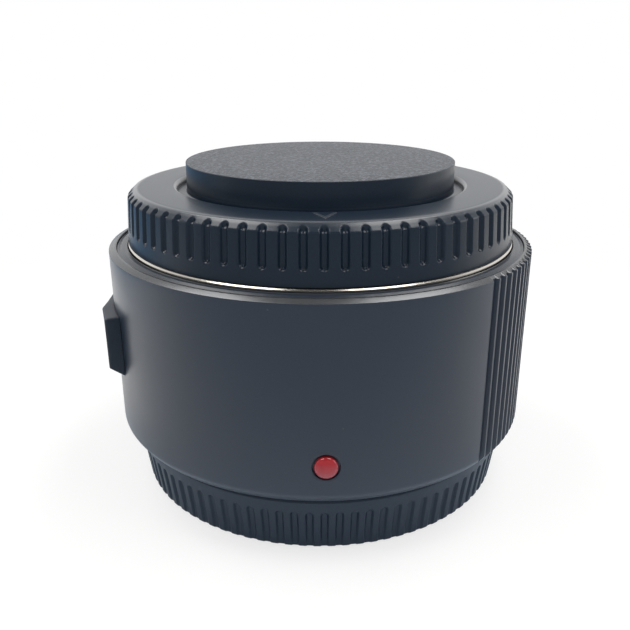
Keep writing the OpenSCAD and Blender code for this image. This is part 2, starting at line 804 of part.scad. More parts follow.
// Main frame: flanges for both mounts, a web for the lens cells and a housing for the lock
module main_frame() {
    color("#5d6168")
    difference() {
        union() {
            rotate_extrude()
                polygon([
                    [frame_in_r, frame_rear_z],
                    [barrel_in_r - seat_gap, frame_rear_z],
                    [barrel_in_r - seat_gap, rib_z],
                    [frame_r, rib_z],
                    [frame_r, frame_front_z - frame_front_t],
                    [frame_front_r, frame_front_z - frame_front_t],
                    [frame_front_r, frame_front_z],
                    [frame_throat_r, frame_front_z],
                    [frame_throat_r, shelf_z],
                    [frame_in_r, shelf_z],
                    [frame_in_r, web_top_z],
                    [front_cell_r, web_top_z],
                    [front_cell_r, web_bottom_z],
                    [frame_in_r, web_bottom_z],
                ]);
            lock_housing();
            for (i = [-1 : 1])
                at_angle(contact_angle + i * post_angle)
                    translate([0, -post_r, rib_z - bond])
                        cylinder(d = post_d, h = post_h + bond, $fn = pin_sides);
        }
        front_screw_set(seat_gap);
        rear_screw_set(seat_gap);
        cell_screw_set(seat_gap);
        leaf_pockets();
        lock_way();
        flex_window();
        for (i = [-1, 1])
            at_angle(stem_mid + i * stem_angle / 4)
                radial(lever_screw_head_d + 2 * slot_gap, frame_in_r - cut,
                       housing_r - frame_in_r + 2 * cut, stem_z + stem_h / 2);
    }
}

// Housing of the lock on the frame, with a guide above and below the slider
module lock_housing() {
    span = guide_start - guide_end;
    sector(frame_r - bond, housing_r, housing_z, frame_front_z - frame_front_t - housing_z + bond,
           guide_end, span);
    for (z = [slider_z - guide_gap - guide_t, slider_top_z + guide_gap])
        sector(housing_r - bond, slider_r, z, guide_t, guide_end, span);
}

// Way for the lock pin, its spring and its follower through the frame
module lock_way() {
    body_h = frame_front_z - frame_front_t - lock_spring_z;
    at_angle(lock_angle) {
        translate([0, -lock_r, lock_spring_z]) {
            cylinder(d = lock_body_d + 2 * pin_gap, h = body_h, $fn = bore_sides);
            cylinder(d = lock_tip_d + 2 * pin_gap, h = body_h + frame_front_t + cut, $fn = bore_sides);
        }
        translate([-cam_w / 2, -housing_r - cut, follower_z - lock_travel - cam_w / 2])
            cube([cam_w, housing_r - lock_r + cut, lock_travel + cam_w]);
    }
}

// Pockets in the frame's front face for the leaf springs
module leaf_pockets() {
    room = gap_angle(room_gap, throat_r);
    for (i = [0 : claw_count - 1])
        sector(frame_throat_r - cut, throat_r - leaf_lip + leaf_w + room_gap,
               frame_front_z - leaf_t - 2 * seat_gap, cut + leaf_t,
               leaf_first_angle + 360 / claw_count * i - leaf_angle / 2 - room, leaf_angle + 2 * room);
}

// Window that the flexible circuit passes on its way to the front contacts
module flex_window() {
    room = gap_angle(room_gap, frame_throat_r);
    sector(frame_throat_r - cut, frame_r + cut, flex_tab_z - room_gap, flex_t + 2 * room_gap,
           contact_angle - flex_angle / 2 - room, flex_angle + 2 * room);
}

module rear_lens_cell() {
    color("#202226")
    difference() {
        union() {
            ring(triplet_r - ledge_w, rear_cell_r, rear_cell_z, web_bottom_z - rear_cell_z);
            ring(rear_cell_r - bond, cell_flange_r, web_bottom_z - cell_flange_t, cell_flange_t);
        }
        translate([0, 0, triplet_ledge_z])
            cylinder(r = triplet_r + seat_gap, h = web_bottom_z - triplet_ledge_z + cut);
        translate([0, 0, rear_cell_z - cut])
            cylinder(r = rear_glass_r + seat_gap, h = rear_glass_ledge_z - rear_cell_z + cut);
        cell_screw_set(seat_gap);
    }
}

// Light mask at the rear, with the window of the picture's shape
module rear_light_mask() {
    color("#141517")
    difference() {
        translate([0, 0, rear_cell_z - mask_t])
            cylinder(r = rear_cell_r, h = mask_t);
        translate([-window_w / 2, -window_h / 2, rear_cell_z - mask_t - cut])
            cube([window_w, window_h, mask_t + 2 * cut]);
    }
}

module rear_glass() {
    color("#9fc4d6", 0.5)
        lens(rear_glass_r, rear_glass_z, rear_glass_t, rear_glass_bulge_a, rear_glass_bulge_b);
}

module rear_retaining_ring() {
    color("#202226")
        ring(rear_glass_r - ledge_w, rear_glass_r,
             rear_glass_z - rear_glass_t - seat_rise(rear_glass_r, rear_glass_bulge_b) - seat_gap - retainer_h,
             retainer_h);
}

module triplet_front_glass() {
    color("#a9cbd8", 0.5)
        lens(triplet_r, triplet_z, triplet_a_t, triplet_bulge_a, triplet_cement_a);
}

module triplet_middle_glass() {
    color("#93b7c8", 0.5)
        lens(triplet_r, triplet_b_z, triplet_b_t, -triplet_cement_a, -triplet_cement_b);
}

module triplet_rear_glass() {
    color("#a9cbd8", 0.5)
        lens(triplet_r, triplet_c_z, triplet_c_t, triplet_cement_b, triplet_bulge_b);
}

module triplet_retaining_ring() {
    color("#202226")
        ring(triplet_r - ledge_w, triplet_r, web_bottom_z - retainer_h, retainer_h);
}

// Front lens cell: a flange on the web, a tube through the throat and a nose past the mount
module front_lens_cell() {
    nose_z = nose_top_z - nose_h;
    bore_r = doublet_r - ledge_w;
    color("#202226")
    difference() {
        rotate_extrude()
            polygon([
                [bore_r, web_top_z],
                [cell_flange_r, web_top_z],
                [cell_flange_r, web_top_z + cell_flange_t],
                [front_cell_r, web_top_z + cell_flange_t],
                [front_cell_r, nose_z - nose_step],
                [nose_r, nose_z],
                [nose_r, nose_top_z],
                [bore_r, nose_top_z],
            ]);
        translate([0, 0, doublet_ledge_z])
            cylinder(r = doublet_r + seat_gap, h = nose_top_z - doublet_ledge_z + cut);
        translate([0, 0, front_ledge_z])
            cylinder(r = front_glass_r + seat_gap, h = nose_top_z - front_ledge_z + cut);
        cell_screw_set(seat_gap);
    }
}

module doublet_front_glass() {
    color("#93b7c8", 0.5)
        lens(doublet_r, doublet_z, doublet_a_t, -doublet_hollow, -doublet_cement);
}

module doublet_rear_glass() {
    color("#a9cbd8", 0.5)
        lens(doublet_r, doublet_cement_z - seat_gap, doublet_b_t, doublet_cement, doublet_bulge);
}

module spacer_ring() {
    color("#202226")
        ring(doublet_r - ledge_w, doublet_r, front_ledge_z - seat_gap - spacer_h, spacer_h);
}

module front_glass() {
    color("#9fc4d6", 0.5)
        lens(front_glass_r, front_glass_z, front_glass_t, front_glass_bulge, -front_glass_hollow);
}

module front_retaining_ring() {
    color("#202226")
        ring(front_glass_r - ledge_w, front_glass_r,
             front_glass_z + seat_rise(front_glass_r, front_glass_bulge) + seat_gap, retainer_h);
}

module cell_screws() {
    color("#8d8f92")
        cell_screw_set();
}

module circuit_board() {
    color("#1f5c3a")
        sector(board_r - board_w, board_r, board_z, board_t,
               contact_angle - board_angle / 2, board_angle);
}

module circuit_chips() {
    color("#1b1c1e")
    for (i = [-2, -1, 1, 2])
        at_angle(contact_angle + i * chip_angle)
            translate([-chip_l / 2, -post_r - chip_w / 2, board_z + board_t])
                cube([chip_l, chip_w, chip_h]);
}

// Flexible circuit: a foot on the board, a run up the frame and a tab to the front contacts
module flex_circuit() {
    color("#b8742c")
    rotate([0, 0, contact_angle - flex_angle / 2 - 90])
        rotate_extrude(angle = flex_angle)
            polygon([
                [board_r - board_w / 2, board_z + board_t],
                [board_r - board_w / 2, board_z + board_t + flex_t],
                [flex_r + flex_t, board_z + board_t + flex_t],
                [flex_r + flex_t, flex_tab_z + flex_t],
                [block_r + 2 * seat_gap, flex_tab_z + flex_t],
                [block_r + 2 * seat_gap, flex_tab_z],
                [flex_r, flex_tab_z],
                [flex_r, board_z + board_t],
            ]);
}

module front_contact_block() {
    color("#1c1d20")
    difference() {
        sector(block_in_r, block_r, shelf_z, front_block_t, contact_angle - block_angle / 2, block_angle);
        front_pin_set(pin_gap, contact_travel + room_gap);
    }
}

module front_contact_pins() {
    color("#d8b04a")
        front_pin_set();
}

// Sprung pins that stand out of the block, as pieces or as bores
module front_pin_set(gap = 0, depth = 0) {
    for (i = [0 : contact_count - 1])
        at_angle(contact_angle + contact_step_angle * (i - (contact_count - 1) / 2))
            translate([0, -contact_r, block_top_z + contact_rise - contact_l - depth])
                cylinder(d = contact_d + 2 * gap, h = contact_l + depth, $fn = pin_sides);
}

// Lens lock: a tip through the mount, a guided body and a follower in the cam slot
module lens_lock_pin() {
    color("#9a9ca0")
    at_angle(lock_angle) {
        translate([0, -lock_r, lock_body_z])
            cylinder(d = lock_body_d, h = lock_body_h, $fn = bore_sides);
        translate([0, -lock_r, lock_body_z + lock_body_h - bond])
            cylinder(d = lock_tip_d, h = front_flange_z + lock_rise - lock_body_z - lock_body_h + bond,
                     $fn = bore_sides);
        radial(follower_d, lock_r, slider_r - follower_inset - lock_r, follower_z);
    }
}

// One round of points around the spring's wire
function spring_round(i) =
    let (a = 360 * i / spring_steps, wire_r = spring_wire_d / 2)
    [for (k = [0 : spring_sides - 1])
        let (b = 360 * k / spring_sides, r = spring_r + wire_r * cos(b))
        [r * cos(a), r * sin(a), spring_run * i / spring_count + wire_r * sin(b)]];

module lock_spring() {
    n = spring_sides;
    points = [for (i = [0 : spring_count]) each spring_round(i)];
    sides = [
        for (i = [0 : spring_count - 1])
            for (k = [0 : n - 1])
                each [
                    [i * n + k, (i + 1) * n + k, i * n + (k + 1) % n],
                    [i * n + (k + 1) % n, (i + 1) * n + k, (i + 1) * n + (k + 1) % n],
                ]
    ];
    first = [for (k = [1 : n - 2]) [0, k, k + 1]];
    last_start = spring_count * n;
    last = [for (k = [1 : n - 2]) [last_start, last_start + k + 1, last_start + k]];
    color("#8f9195")
    at_angle(lock_angle)
        translate([0, -lock_r, lock_spring_z + spring_wire_d / 2 + seat_gap])
            polyhedron(points, concat(sides, first, last));
}

// Slider behind the barrel, with the inclined slot that draws the lock pin down
module lever_slider() {
    cam_mid = lock_angle + travel_angle / 2;
    color("#77797d")
    difference() {
        sector(slider_in_r, slider_r, slider_z, slider_top_z - slider_z,
               slider_start - slider_angle, slider_angle);
        at_angle(cam_mid)
            translate([0, 0, follower_z - lock_travel / 2])
                rotate([0, cam_slope, 0]) {
                    translate([-cam_run / 2, -slider_r - cut, -cam_w / 2])
                        cube([cam_run, slider_t + 2 * cut, cam_w]);
                    for (i = [-1, 1])
                        translate([i * cam_run / 2, 0, 0])
                            radial(cam_w, slider_in_r - cut, slider_t + 2 * cut, 0);
                }
        lever_screw_set(seat_gap);
    }
}

// Lever screws with their heads let into the slider's inner face
module lever_screw_set(gap = 0) {
    for (i = [-1, 1])
        at_angle(stem_mid + i * stem_angle / 4) {
            radial(lever_screw_head_d + 2 * gap, slider_in_r - gap, lever_screw_head_h + 2 * gap,
                   stem_z + stem_h / 2);
            radial(lever_screw_d + 2 * gap, slider_in_r, slider_t + lever_screw_grip + gap,
                   stem_z + stem_h / 2);
        }
}

module lever_screws() {
    color("#8d8f92")
        lever_screw_set();
}

// Outer barrel with its grip grooves, the lever's slot and the recess of the index dome
module outer_barrel() {
    color("#3d424a")
    difference() {
        rotate_extrude()
            polygon([
                [barrel_in_r, rear_flange_z],
                [barrel_r - foot_bevel_w, rear_flange_z],
                [barrel_r, rear_flange_z + foot_bevel_h],
                [barrel_r, barrel_top_z - top_bevel_h],
                [barrel_r - top_bevel_w, barrel_top_z],
                [trim_seat_r, barrel_top_z],
                [trim_seat_r, trim_seat_z],
                [barrel_in_r, trim_seat_z],
                [barrel_in_r, rib_z + rib_h],
                [rib_r, rib_z + rib_h],
                [rib_r, rib_z],
                [barrel_in_r, rib_z],
            ]);
        for (i = [0 : grip_count - 1])
            at_angle(grip_angle + grip_step_angle * (i - (grip_count - 1) / 2))
                translate([0, -barrel_r, rear_flange_z - cut])
                    linear_extrude(barrel_h + 2 * cut)
                        polygon([
                            [-groove_w / 2, -cut],
                            [groove_w / 2, -cut],
                            [groove_w / 2, 0],
                            [groove_floor_w / 2, groove_depth],
                            [-groove_floor_w / 2, groove_depth],
                            [-groove_w / 2, 0],
                        ]);
        lever_slot();
        radial(dome_d + 2 * dome_gap, barrel_r - dome_seat_depth, dome_seat_depth + cut,
               rear_flange_z + dome_z);
        radial(dome_stem_d + 2 * seat_gap, barrel_in_r - cut, barrel_wall + cut, rear_flange_z + dome_z);
    }
}

// Slot in the barrel that the lever's stem travels in, always covered by the lever
module lever_slot() {
    room = gap_angle(slot_gap, barrel_r);
    sector(barrel_in_r - cut, barrel_r + cut, stem_z - slot_gap, stem_h + 2 * slot_gap,
           stem_start - stem_angle - travel_angle - room, stem_angle + travel_angle + 2 * room);
}

// Red dome on a short stem
module index_dome() {
    ball_r = (dome_d * dome_d / 4 + dome_rise * dome_rise) / (2 * dome_rise);
    dome_mid_z = rear_flange_z + dome_z;
    color("#c0252f")
    union() {
        radial(dome_d, barrel_r - dome_seat_depth, dome_seat_depth, dome_mid_z);
        radial(dome_stem_d, barrel_in_r, barrel_wall - dome_seat_depth + bond, dome_mid_z);
        intersection() {
            radial(dome_d, barrel_r - bond, dome_rise + bond, dome_mid_z);
            translate([0, -barrel_r - dome_rise + ball_r, dome_mid_z])
                sphere(r = ball_r, $fn = 64);
        }
    }
}

// Release lever: a fin with a steep side, an outer flat and a long tail, on a stem
module release_lever() {
    flat_end = lever_angle - flat_angle;
    tail_end = flat_end - tail_angle;
    color("#2b3038")
    difference() {
        union() {
            intersection() {
                translate([0, 0, lever_z - cut])
                    linear_extrude(lever_h + 2 * cut)
                        polygon([
                            polar(barrel_in_r, lever_angle),
                            polar(lever_r, lever_angle),
                            polar(lever_r, flat_end),
                            polar(lever_in_r + lever_tip, tail_end),
                            polar(barrel_in_r, tail_end),
                        ]);
                rotate_extrude()
                    polygon([
                        [lever_in_r, lever_z],
                        [lever_r + cut, lever_z + lever_slant * (1 + cut / lever_reach)],
                        [lever_r + cut, lever_top_z],
                        [lever_in_r, lever_top_z],
                    ]);
            }
            sector(slider_r + seat_gap, lever_in_r + bond, stem_z, stem_h,
                   stem_start - stem_angle, stem_angle);
        }
        lever_screw_set(seat_gap);
    }
}

// Trim ring between the barrel's upper rim and the bright mount, held under the mount's step
module front_trim_ring() {
    trim_in_r = front_ring_r + trim_gap;
    trim_foot_r = front_foot_r + trim_gap;
    trim_r = trim_seat_r - trim_gap;
    trim_top_z = barrel_top_z + trim_rise;
    foot_z = frame_front_z + ring_step_h - seat_gap;
    color("#23262b")
    rotate_extrude()
        polygon([
            [trim_foot_r, frame_front_z],
            [barrel_in_r - seat_gap, frame_front_z],
            [barrel_in_r - seat_gap, trim_seat_z],
            [trim_r, trim_seat_z],
            [trim_r, trim_top_z - trim_edge],
            [trim_r - trim_edge, trim_top_z],
            [trim_in_r, trim_top_z],
            [trim_in_r, foot_z],
            [trim_foot_r, foot_z],
        ]);
}

// Leaf springs that draw a lens's lugs against the mount
module mount_springs() {
    color("#a7a8aa")
    for (i = [0 : claw_count - 1])
        sector(throat_r - leaf_lip, throat_r - leaf_lip + leaf_w, frame_front_z - leaf_t - seat_gap, leaf_t,
               leaf_first_angle + 360 / claw_count * i - leaf_angle / 2, leaf_angle);
}

// Front mount: a flange with four claws in its throat
module front_mount_ring() {
    color("#d2cfc9")
    difference() {
        union() {
            rotate_extrude()
                polygon([
                    [throat_r, frame_front_z],
                    [front_foot_r, frame_front_z],
                    [front_foot_r, frame_front_z + ring_step_h],
                    [front_ring_r, frame_front_z + ring_step_h],
                    [front_ring_r, front_flange_z - ring_edge],
                    [front_ring_r - ring_edge, front_flange_z],
                    [throat_r, front_flange_z],
                ]);
            claws(claw_in_r, throat_r + bond, front_flange_z - claw_drop - claw_t, claw_t, claw_angle);
        }
        front_screw_set(seat_gap);
        at_angle(lock_angle)
            translate([0, -lock_r, frame_front_z - cut])
                cylinder(d = lock_tip_d + 2 * pin_gap, h = front_ring_t + 2 * cut, $fn = bore_sides);
        translate([0, -screw_r, front_flange_z - index_dot_t - seat_gap])
            cylinder(d = index_dot_d + 2 * seat_gap, h = index_dot_t + cut, $fn = pin_sides);
    }
}

module front_mount_screws() {
    color("#8d8f92")
        front_screw_set();
}

module front_index_dot() {
    color("#c0252f")
        translate([0, -screw_r, front_flange_z - index_dot_t])
            cylinder(d = index_dot_d, h = index_dot_t, $fn = pin_sides);
}

// Front cap: a slotted wall, a sloping shoulder, a raised disc in a moat and a bayonet tube
module front_cap() {
    wall_top_r = cap_rim_r - cap_draft;
    wall_top_z = cap_rim_z + cap_wall_h;
    disc_top_z = shoulder_z + disc_h;
    skirt_in_r = lock_r + lock_tip_d / 2 + room_gap;
    roof_z = shoulder_z - cap_roof;
    crest_r = wall_top_r - cap_shoulder_w;
    moat_arc = quarter([disc_r + moat_w, shoulder_z - moat_depth],
                       moat_w / 2, moat_depth, moat_steps, quarter_turn);
    color("#262a31")
    difference() {
        union() {
            rotate_extrude()
                polygon(concat(
                    [
                        [0, disc_top_z - dome_wall],
                        [dome_in_r, disc_top_z - dome_wall],
                        [dome_in_r, roof_z - moat_depth],
                        [cap_tube_in_r, roof_z - moat_depth],
                        [cap_tube_in_r, cap_tube_z],
                        [cap_tube_r, cap_tube_z],
                        [cap_tube_r, roof_z],
                        [skirt_in_r, roof_z],
                        [skirt_in_r, cap_rim_z],
                        [cap_rim_r, cap_rim_z],
                        [wall_top_r, wall_top_z],
                        [crest_r + crest_w, shoulder_z - crest_h],
                        [crest_r, shoulder_z],
                    ],
                    moat_arc,
                    [
                        [disc_r, shoulder_z - moat_depth],
                        [disc_r, disc_top_z - disc_edge],
                        [disc_r - disc_edge, disc_top_z],
                        [0, disc_top_z],
                    ]
                ));
            claws(cap_tube_r - bond, cap_lug_r, cap_lug_z, cap_lug_t, claw_angle);
        }
        for (i = [0 : cap_slots - 1])
            at_angle(360 / cap_slots * i)
                front_cap_slot(cap_rim_r - cap_draft / 2 - cap_slot_depth);
    }
}

module front_cap_slot(floor_r) {
    low_z = cap_rim_z + cap_slot_z + cap_slot_w / 2;
    high_z = cap_rim_z + cap_wall_h + cap_shoulder_h / 2 - cap_slot_w / 2;
    translate([-cap_slot_w / 2, -floor_r - 2 * cut, low_z])
        cube([cap_slot_w, 2 * cut, high_z - low_z]);
    for (z = [low_z, high_z])
        translate([0, -floor_r, z])
            rotate([90, 0, 0])
                cylinder(d = cap_slot_w, h = 2 * cut, $fn = slot_sides);
}

rear_cap();
rear_mount_ring();
rear_mount_screws();
mount_gasket();
rear_contact_block();
rear_contact_pads();
main_frame();
rear_lens_cell();
rear_light_mask();
rear_glass();
rear_retaining_ring();
triplet_front_glass();
triplet_middle_glass();
triplet_rear_glass();
triplet_retaining_ring();
front_lens_cell();
doublet_front_glass();
doublet_rear_glass();
spacer_ring();
front_glass();
front_retaining_ring();
cell_screws();
circuit_board();
circuit_chips();
flex_circuit();
front_contact_block();
front_contact_pins();
lens_lock_pin();
lock_spring();
lever_slider();
lever_screws();
outer_barrel();
index_dome();
release_lever();
front_trim_ring();
mount_springs();
front_mount_ring();
front_mount_screws();
front_index_dot();
front_cap();
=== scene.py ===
import math

import bmesh
import bpy
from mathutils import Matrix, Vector


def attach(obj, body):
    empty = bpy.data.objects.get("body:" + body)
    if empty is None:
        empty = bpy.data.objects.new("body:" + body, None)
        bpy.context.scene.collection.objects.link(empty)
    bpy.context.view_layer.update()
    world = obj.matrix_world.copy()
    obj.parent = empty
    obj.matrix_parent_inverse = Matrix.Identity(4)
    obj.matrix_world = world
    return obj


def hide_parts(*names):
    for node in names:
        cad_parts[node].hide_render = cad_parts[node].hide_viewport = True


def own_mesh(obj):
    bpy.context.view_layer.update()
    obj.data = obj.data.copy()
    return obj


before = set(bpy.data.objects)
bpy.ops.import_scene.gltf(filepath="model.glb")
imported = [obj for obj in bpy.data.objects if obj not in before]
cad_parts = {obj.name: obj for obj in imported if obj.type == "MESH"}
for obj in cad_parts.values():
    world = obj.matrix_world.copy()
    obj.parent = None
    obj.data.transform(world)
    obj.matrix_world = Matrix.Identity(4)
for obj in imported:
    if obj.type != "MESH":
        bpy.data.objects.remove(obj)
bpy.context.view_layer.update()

# Rear cap. A moulded black cup that twists onto the camera side, with a drafted wall and
# upright finger slots that run out through its lower edge. Black plastic with a fine spark grain,
# its black painted lighter than the front cap's as painted light bounced from the floor.
MM = 0.001
WELD, SLIVER = 0.0002 * MM, 0.0001 * MM
SHARP = 38.0
CORNER_SHARE = 0.48


def turn(r, az, z):
    """Point at a radius, an angle from the index mark and a height, all in mm and degrees."""
    a = math.radians(az)
    return Vector((r * math.sin(a) * MM, -r * math.cos(a) * MM, z * MM))


def smooth_step(low, high, x):
    t = min(1.0, max(0.0, (x - low) / (high - low)))
    return t * t * (3 - 2 * t)


def finish_mesh(name, verts, faces, sharp=SHARP):
    """Mesh object from points and faces, welded, with outward normals and sharp edges by angle."""
    mesh = bpy.data.meshes.new(name)
    mesh.from_pydata(verts, [], faces)
    bm = bmesh.new()
    bm.from_mesh(mesh)
    bmesh.ops.remove_doubles(bm, verts=bm.verts, dist=WELD)
    bmesh.ops.dissolve_degenerate(bm, edges=bm.edges, dist=SLIVER)
    bmesh.ops.recalc_face_normals(bm, faces=bm.faces)
    bm.to_mesh(mesh)
    bm.free()
    for p in mesh.polygons:
        p.use_smooth = True
    mesh.set_sharp_from_angle(angle=math.radians(sharp))
    piece = bpy.data.objects.new(name, mesh)
    bpy.context.scene.collection.objects.link(piece)
    return piece


def rounded(points, loop=False, steps=5):
    """Outline with its corners rounded: rows of radius, height, corner radius and a tag."""
    rows = []
    n = len(points)
    for i, (r, z, size, tag) in enumerate(points):
        if size == 0 or (not loop and i in (0, n - 1)):
            rows.append((r, z, tag))
            continue
        corner = Vector((r, z))
        sides = []
        for other in (points[i - 1], points[(i + 1) % n]):
            way = Vector(other[:2]) - corner
            sides.append(corner + way.normalized() * min(size, CORNER_SHARE * way.length))
        for k in range(steps + 1):
            t = k / steps
            p = sides[0] * (1 - t) ** 2 + corner * 2 * t * (1 - t) + sides[1] * t ** 2
            rows.append((p.x, p.y, tag))
    return rows


def lathe(name, profile, angles, shape, loop=False, sharp=SHARP, every=1):
    """Turned piece. shape(tag, r, az, z) gives each point's radius and height; r = 0 makes a pole.

    Rows without a tag are plain, and take only every so many of the angles.
    """
    n = len(angles)
    verts = []
    rows = []
    for r, z, tag in profile:
        row = {}
        for j in range(0, 1 if r == 0 else n, 1 if tag else every):
            own_r, own_z = shape(tag, r, angles[j], z)
            row[j] = len(verts)
            verts.append(turn(own_r, angles[j], own_z))
        rows.append(row)

    def span(row, a, b):
        if len(row) == 1:
            return [row[0]]
        return [row[j % n] for j in range(a, b + 1) if j % n in row]

    faces = []
    pairs = list(zip(rows, rows[1:]))
    if loop:
        pairs.append((rows[-1], rows[0]))
    for low, high in pairs:
        shared = min((row for row in (low, high) if len(row) > 1), key=len)
        stops = list(shared) + [n]
        for a, b in zip(stops, stops[1:]):
            faces.append(tuple(span(low, a, b) + span(high, a, b)[::-1]))
    return finish_mesh(name, verts, faces, sharp)


def repeat_angles(count, steps, start):
    """Angles around the axis: the same steps in degrees around each of a number of slots."""
    pitch = 360 / count
    return [start + i * pitch + s for i in range(count) for s in steps]


def from_middle(az, count, start=0.0):
    """Degrees from an angle to the middle of the nearest of a number of slots, claws or lugs."""
    pitch = 360 / count
    return (az - start + pitch / 2) % pitch - pitch / 2


def feed(tree, value, socket):
    """Gives an input a plain value, a colour or another node's output."""
    if isinstance(value, bpy.types.NodeSocket):
        tree.links.new(value, socket)
    else:
        socket.default_value = (*value, 1) if isinstance(value, tuple) else value


def mapped(tree, source, span, to=(0, 1)):
    """Value whose span is stretched onto another span."""
    node = tree.nodes.new("ShaderNodeMapRange")
    for name, value in zip(("From Min", "From Max", "To Min", "To Max"), (*span, *to)):
        node.inputs[name].default_value = value
    tree.links.new(source, node.inputs["Value"])
    return node.outputs["Result"]


def mixed(tree, mask, a, b, kind="RGBA"):
    """Colour, or a value where kind is FLOAT, that goes from a to b by a mask."""
    node = tree.nodes.new("ShaderNodeMix")
    node.data_type = kind
    tree.links.new(mask, node.inputs["Factor"])
    feed(tree, a, node.inputs["A"])
    feed(tree, b, node.inputs["B"])
    return node.outputs["Result"]


def worked(tree, operation, a, b):
    """Result of one sum on two outputs."""
    node = tree.nodes.new("ShaderNodeMath")
    node.operation = operation
    tree.links.new(a, node.inputs[0])
    tree.links.new(b, node.inputs[1])
    return node.outputs["Value"]


def effect_group(name, inputs, outputs):
    """Empty node group with its named values, and the nodes at its two ends."""
    group = bpy.data.node_groups.new(name, "ShaderNodeTree")
    for key, value in inputs.items():
        socket = group.interface.new_socket(name=key, in_out="INPUT", socket_type="NodeSocketFloat")
        socket.default_value = value
    for key in outputs:
        group.interface.new_socket(name=key, in_out="OUTPUT", socket_type="NodeSocketFloat")
    start = group.nodes.new("NodeGroupInput").outputs
    end = group.nodes.new("NodeGroupOutput").inputs
    return group, start, end


def noise(group, scale, detail):
    """Noise over the object's own coordinates."""
    place = group.nodes.new("ShaderNodeTexCoord")
    node = group.nodes.new("ShaderNodeTexNoise")
    feed(group, scale, node.inputs["Scale"])
    node.inputs["Detail"].default_value = detail
    group.links.new(place.outputs["Object"], node.inputs["Vector"])
    return node


def grain_group():
    """Moulded grain: a height for the bump and a slow mottle, both from object coordinates."""
    group, start, end = effect_group("moulded_grain", {"Scale": 6000.0}, ("Height", "Mottle"))
    fine = noise(group, start["Scale"], 2.5)
    fine.inputs["Roughness"].default_value = 0.6
    slow = noise(group, 140.0, 4.0)
    group.links.new(fine.outputs["Fac"], end["Height"])
    group.links.new(slow.outputs["Fac"], end["Mottle"])
    return group


def speck_group():
    """Dust: a few small specks, scattered over the surface by a cell pattern."""
    values = {"Scale": 420.0, "Size": 0.055, "Share": 0.82}
    group, start, end = effect_group("dust_specks", values, ("Mask",))
    place = group.nodes.new("ShaderNodeTexCoord")
    cells = group.nodes.new("ShaderNodeTexVoronoi")
    split = group.nodes.new("ShaderNodeSeparateColor")
    group.links.new(place.outputs["Object"], cells.inputs["Vector"])
    group.links.new(start["Scale"], cells.inputs["Scale"])
    group.links.new(cells.outputs["Color"], split.inputs["Color"])
    near = worked(group, "LESS_THAN", cells.outputs["Distance"], start["Size"])
    some = worked(group, "GREATER_THAN", split.outputs["Red"], start["Share"])
    group.links.new(worked(group, "MULTIPLY", near, some), end["Mask"])
    return group


GRAIN = grain_group()
SPECKS = speck_group()
GRAIN_SPAN = (0.35, 0.65)
MOTTLE_SPAN = (0.3, 0.7)
GRAIN_RELIEF = 0.04 * MM


def plain_material(name):
    material = bpy.data.materials.new(name)
    material.use_nodes = True
    tree = material.node_tree
    tree.nodes.clear()
    out = tree.nodes.new("ShaderNodeOutputMaterial")
    shader = tree.nodes.new("ShaderNodeBsdfPrincipled")
    tree.links.new(shader.outputs["BSDF"], out.inputs["Surface"])
    return material, tree, shader


def group_node(tree, group, **values):
    node = tree.nodes.new("ShaderNodeGroup")
    node.node_tree = group
    for key, value in values.items():
        node.inputs[key].default_value = value
    return node.outputs


def dusted(tree, colour, dust):
    return mixed(tree, group_node(tree, SPECKS)["Mask"], colour, dust)


def bumped(tree, shader, height, strength, relief):
    node = tree.nodes.new("ShaderNodeBump")
    node.inputs["Strength"].default_value = strength
    node.inputs["Distance"].default_value = relief
    tree.links.new(height, node.inputs["Height"])
    tree.links.new(node.outputs["Normal"], shader.inputs["Normal"])


def grained(name, dark, light, rough, scale, bump, specular, dust=None):
    """Moulded or coated surface: grain in colour and bump, uneven gloss, a few specks of dust."""
    material, tree, shader = plain_material(name)
    grain = group_node(tree, GRAIN, Scale=scale)
    colour = mixed(tree, mapped(tree, grain["Height"], GRAIN_SPAN), dark, light)
    if dust:
        colour = dusted(tree, colour, dust)
    tree.links.new(colour, shader.inputs["Base Color"])
    tree.links.new(mapped(tree, grain["Mottle"], MOTTLE_SPAN, rough), shader.inputs["Roughness"])
    shader.inputs["Specular IOR Level"].default_value = specular
    bumped(tree, shader, grain["Height"], bump, GRAIN_RELIEF)
    return material


REAR_R, REAR_DRAFT, REAR_H = 30.0, 1.35, 9.45
REAR_EDGE, REAR_EDGE_ROUND = 0.35, 0.2
REAR_BASE_R = 20
REAR_CHAMFER_R, REAR_CHAMFER_Z, REAR_TOP_R = 31.18, 8.28, 30.3
CUP_R, CUP_FLOOR, CUP_ROUND = 28.3, 1.8, 0.16
CLAWS, CLAW_SPAN, CLAW_R = 4, 38, 24.5
CLAW_LOW, CLAW_HIGH = 6.75, 8.35
HAIR = 0.01
REAR_SLOTS = 90
REAR_SLOT_TURN = -0.2
REAR_SLOT_DEPTH = 0.4
REAR_SLOT_HALF = 0.52
REAR_SLOT_END = 5.98
REAR_SLOT_LIP = (-0.14, 0.24)
REAR_FOOT_SHARE, REAR_FOOT_RUN = 0.35, (0.2, 2.2)
REAR_ROWS = (1.1, 2.4, 3.8, 5.0, 5.6, 5.8, 5.95, 6.08, 6.18, 6.26, 6.33, 6.39, 6.44, 6.48, 6.52,
             6.57, 6.65, 7.5)
REAR_STEPS = (0.15, 0.32, 0.38, 0.43, 0.48, 0.53, 0.58, 0.63, 0.68, 0.9)
REAR_PLAIN_EVERY = 5


def rear_wall(z):
    return REAR_R + REAR_DRAFT * z / REAR_H


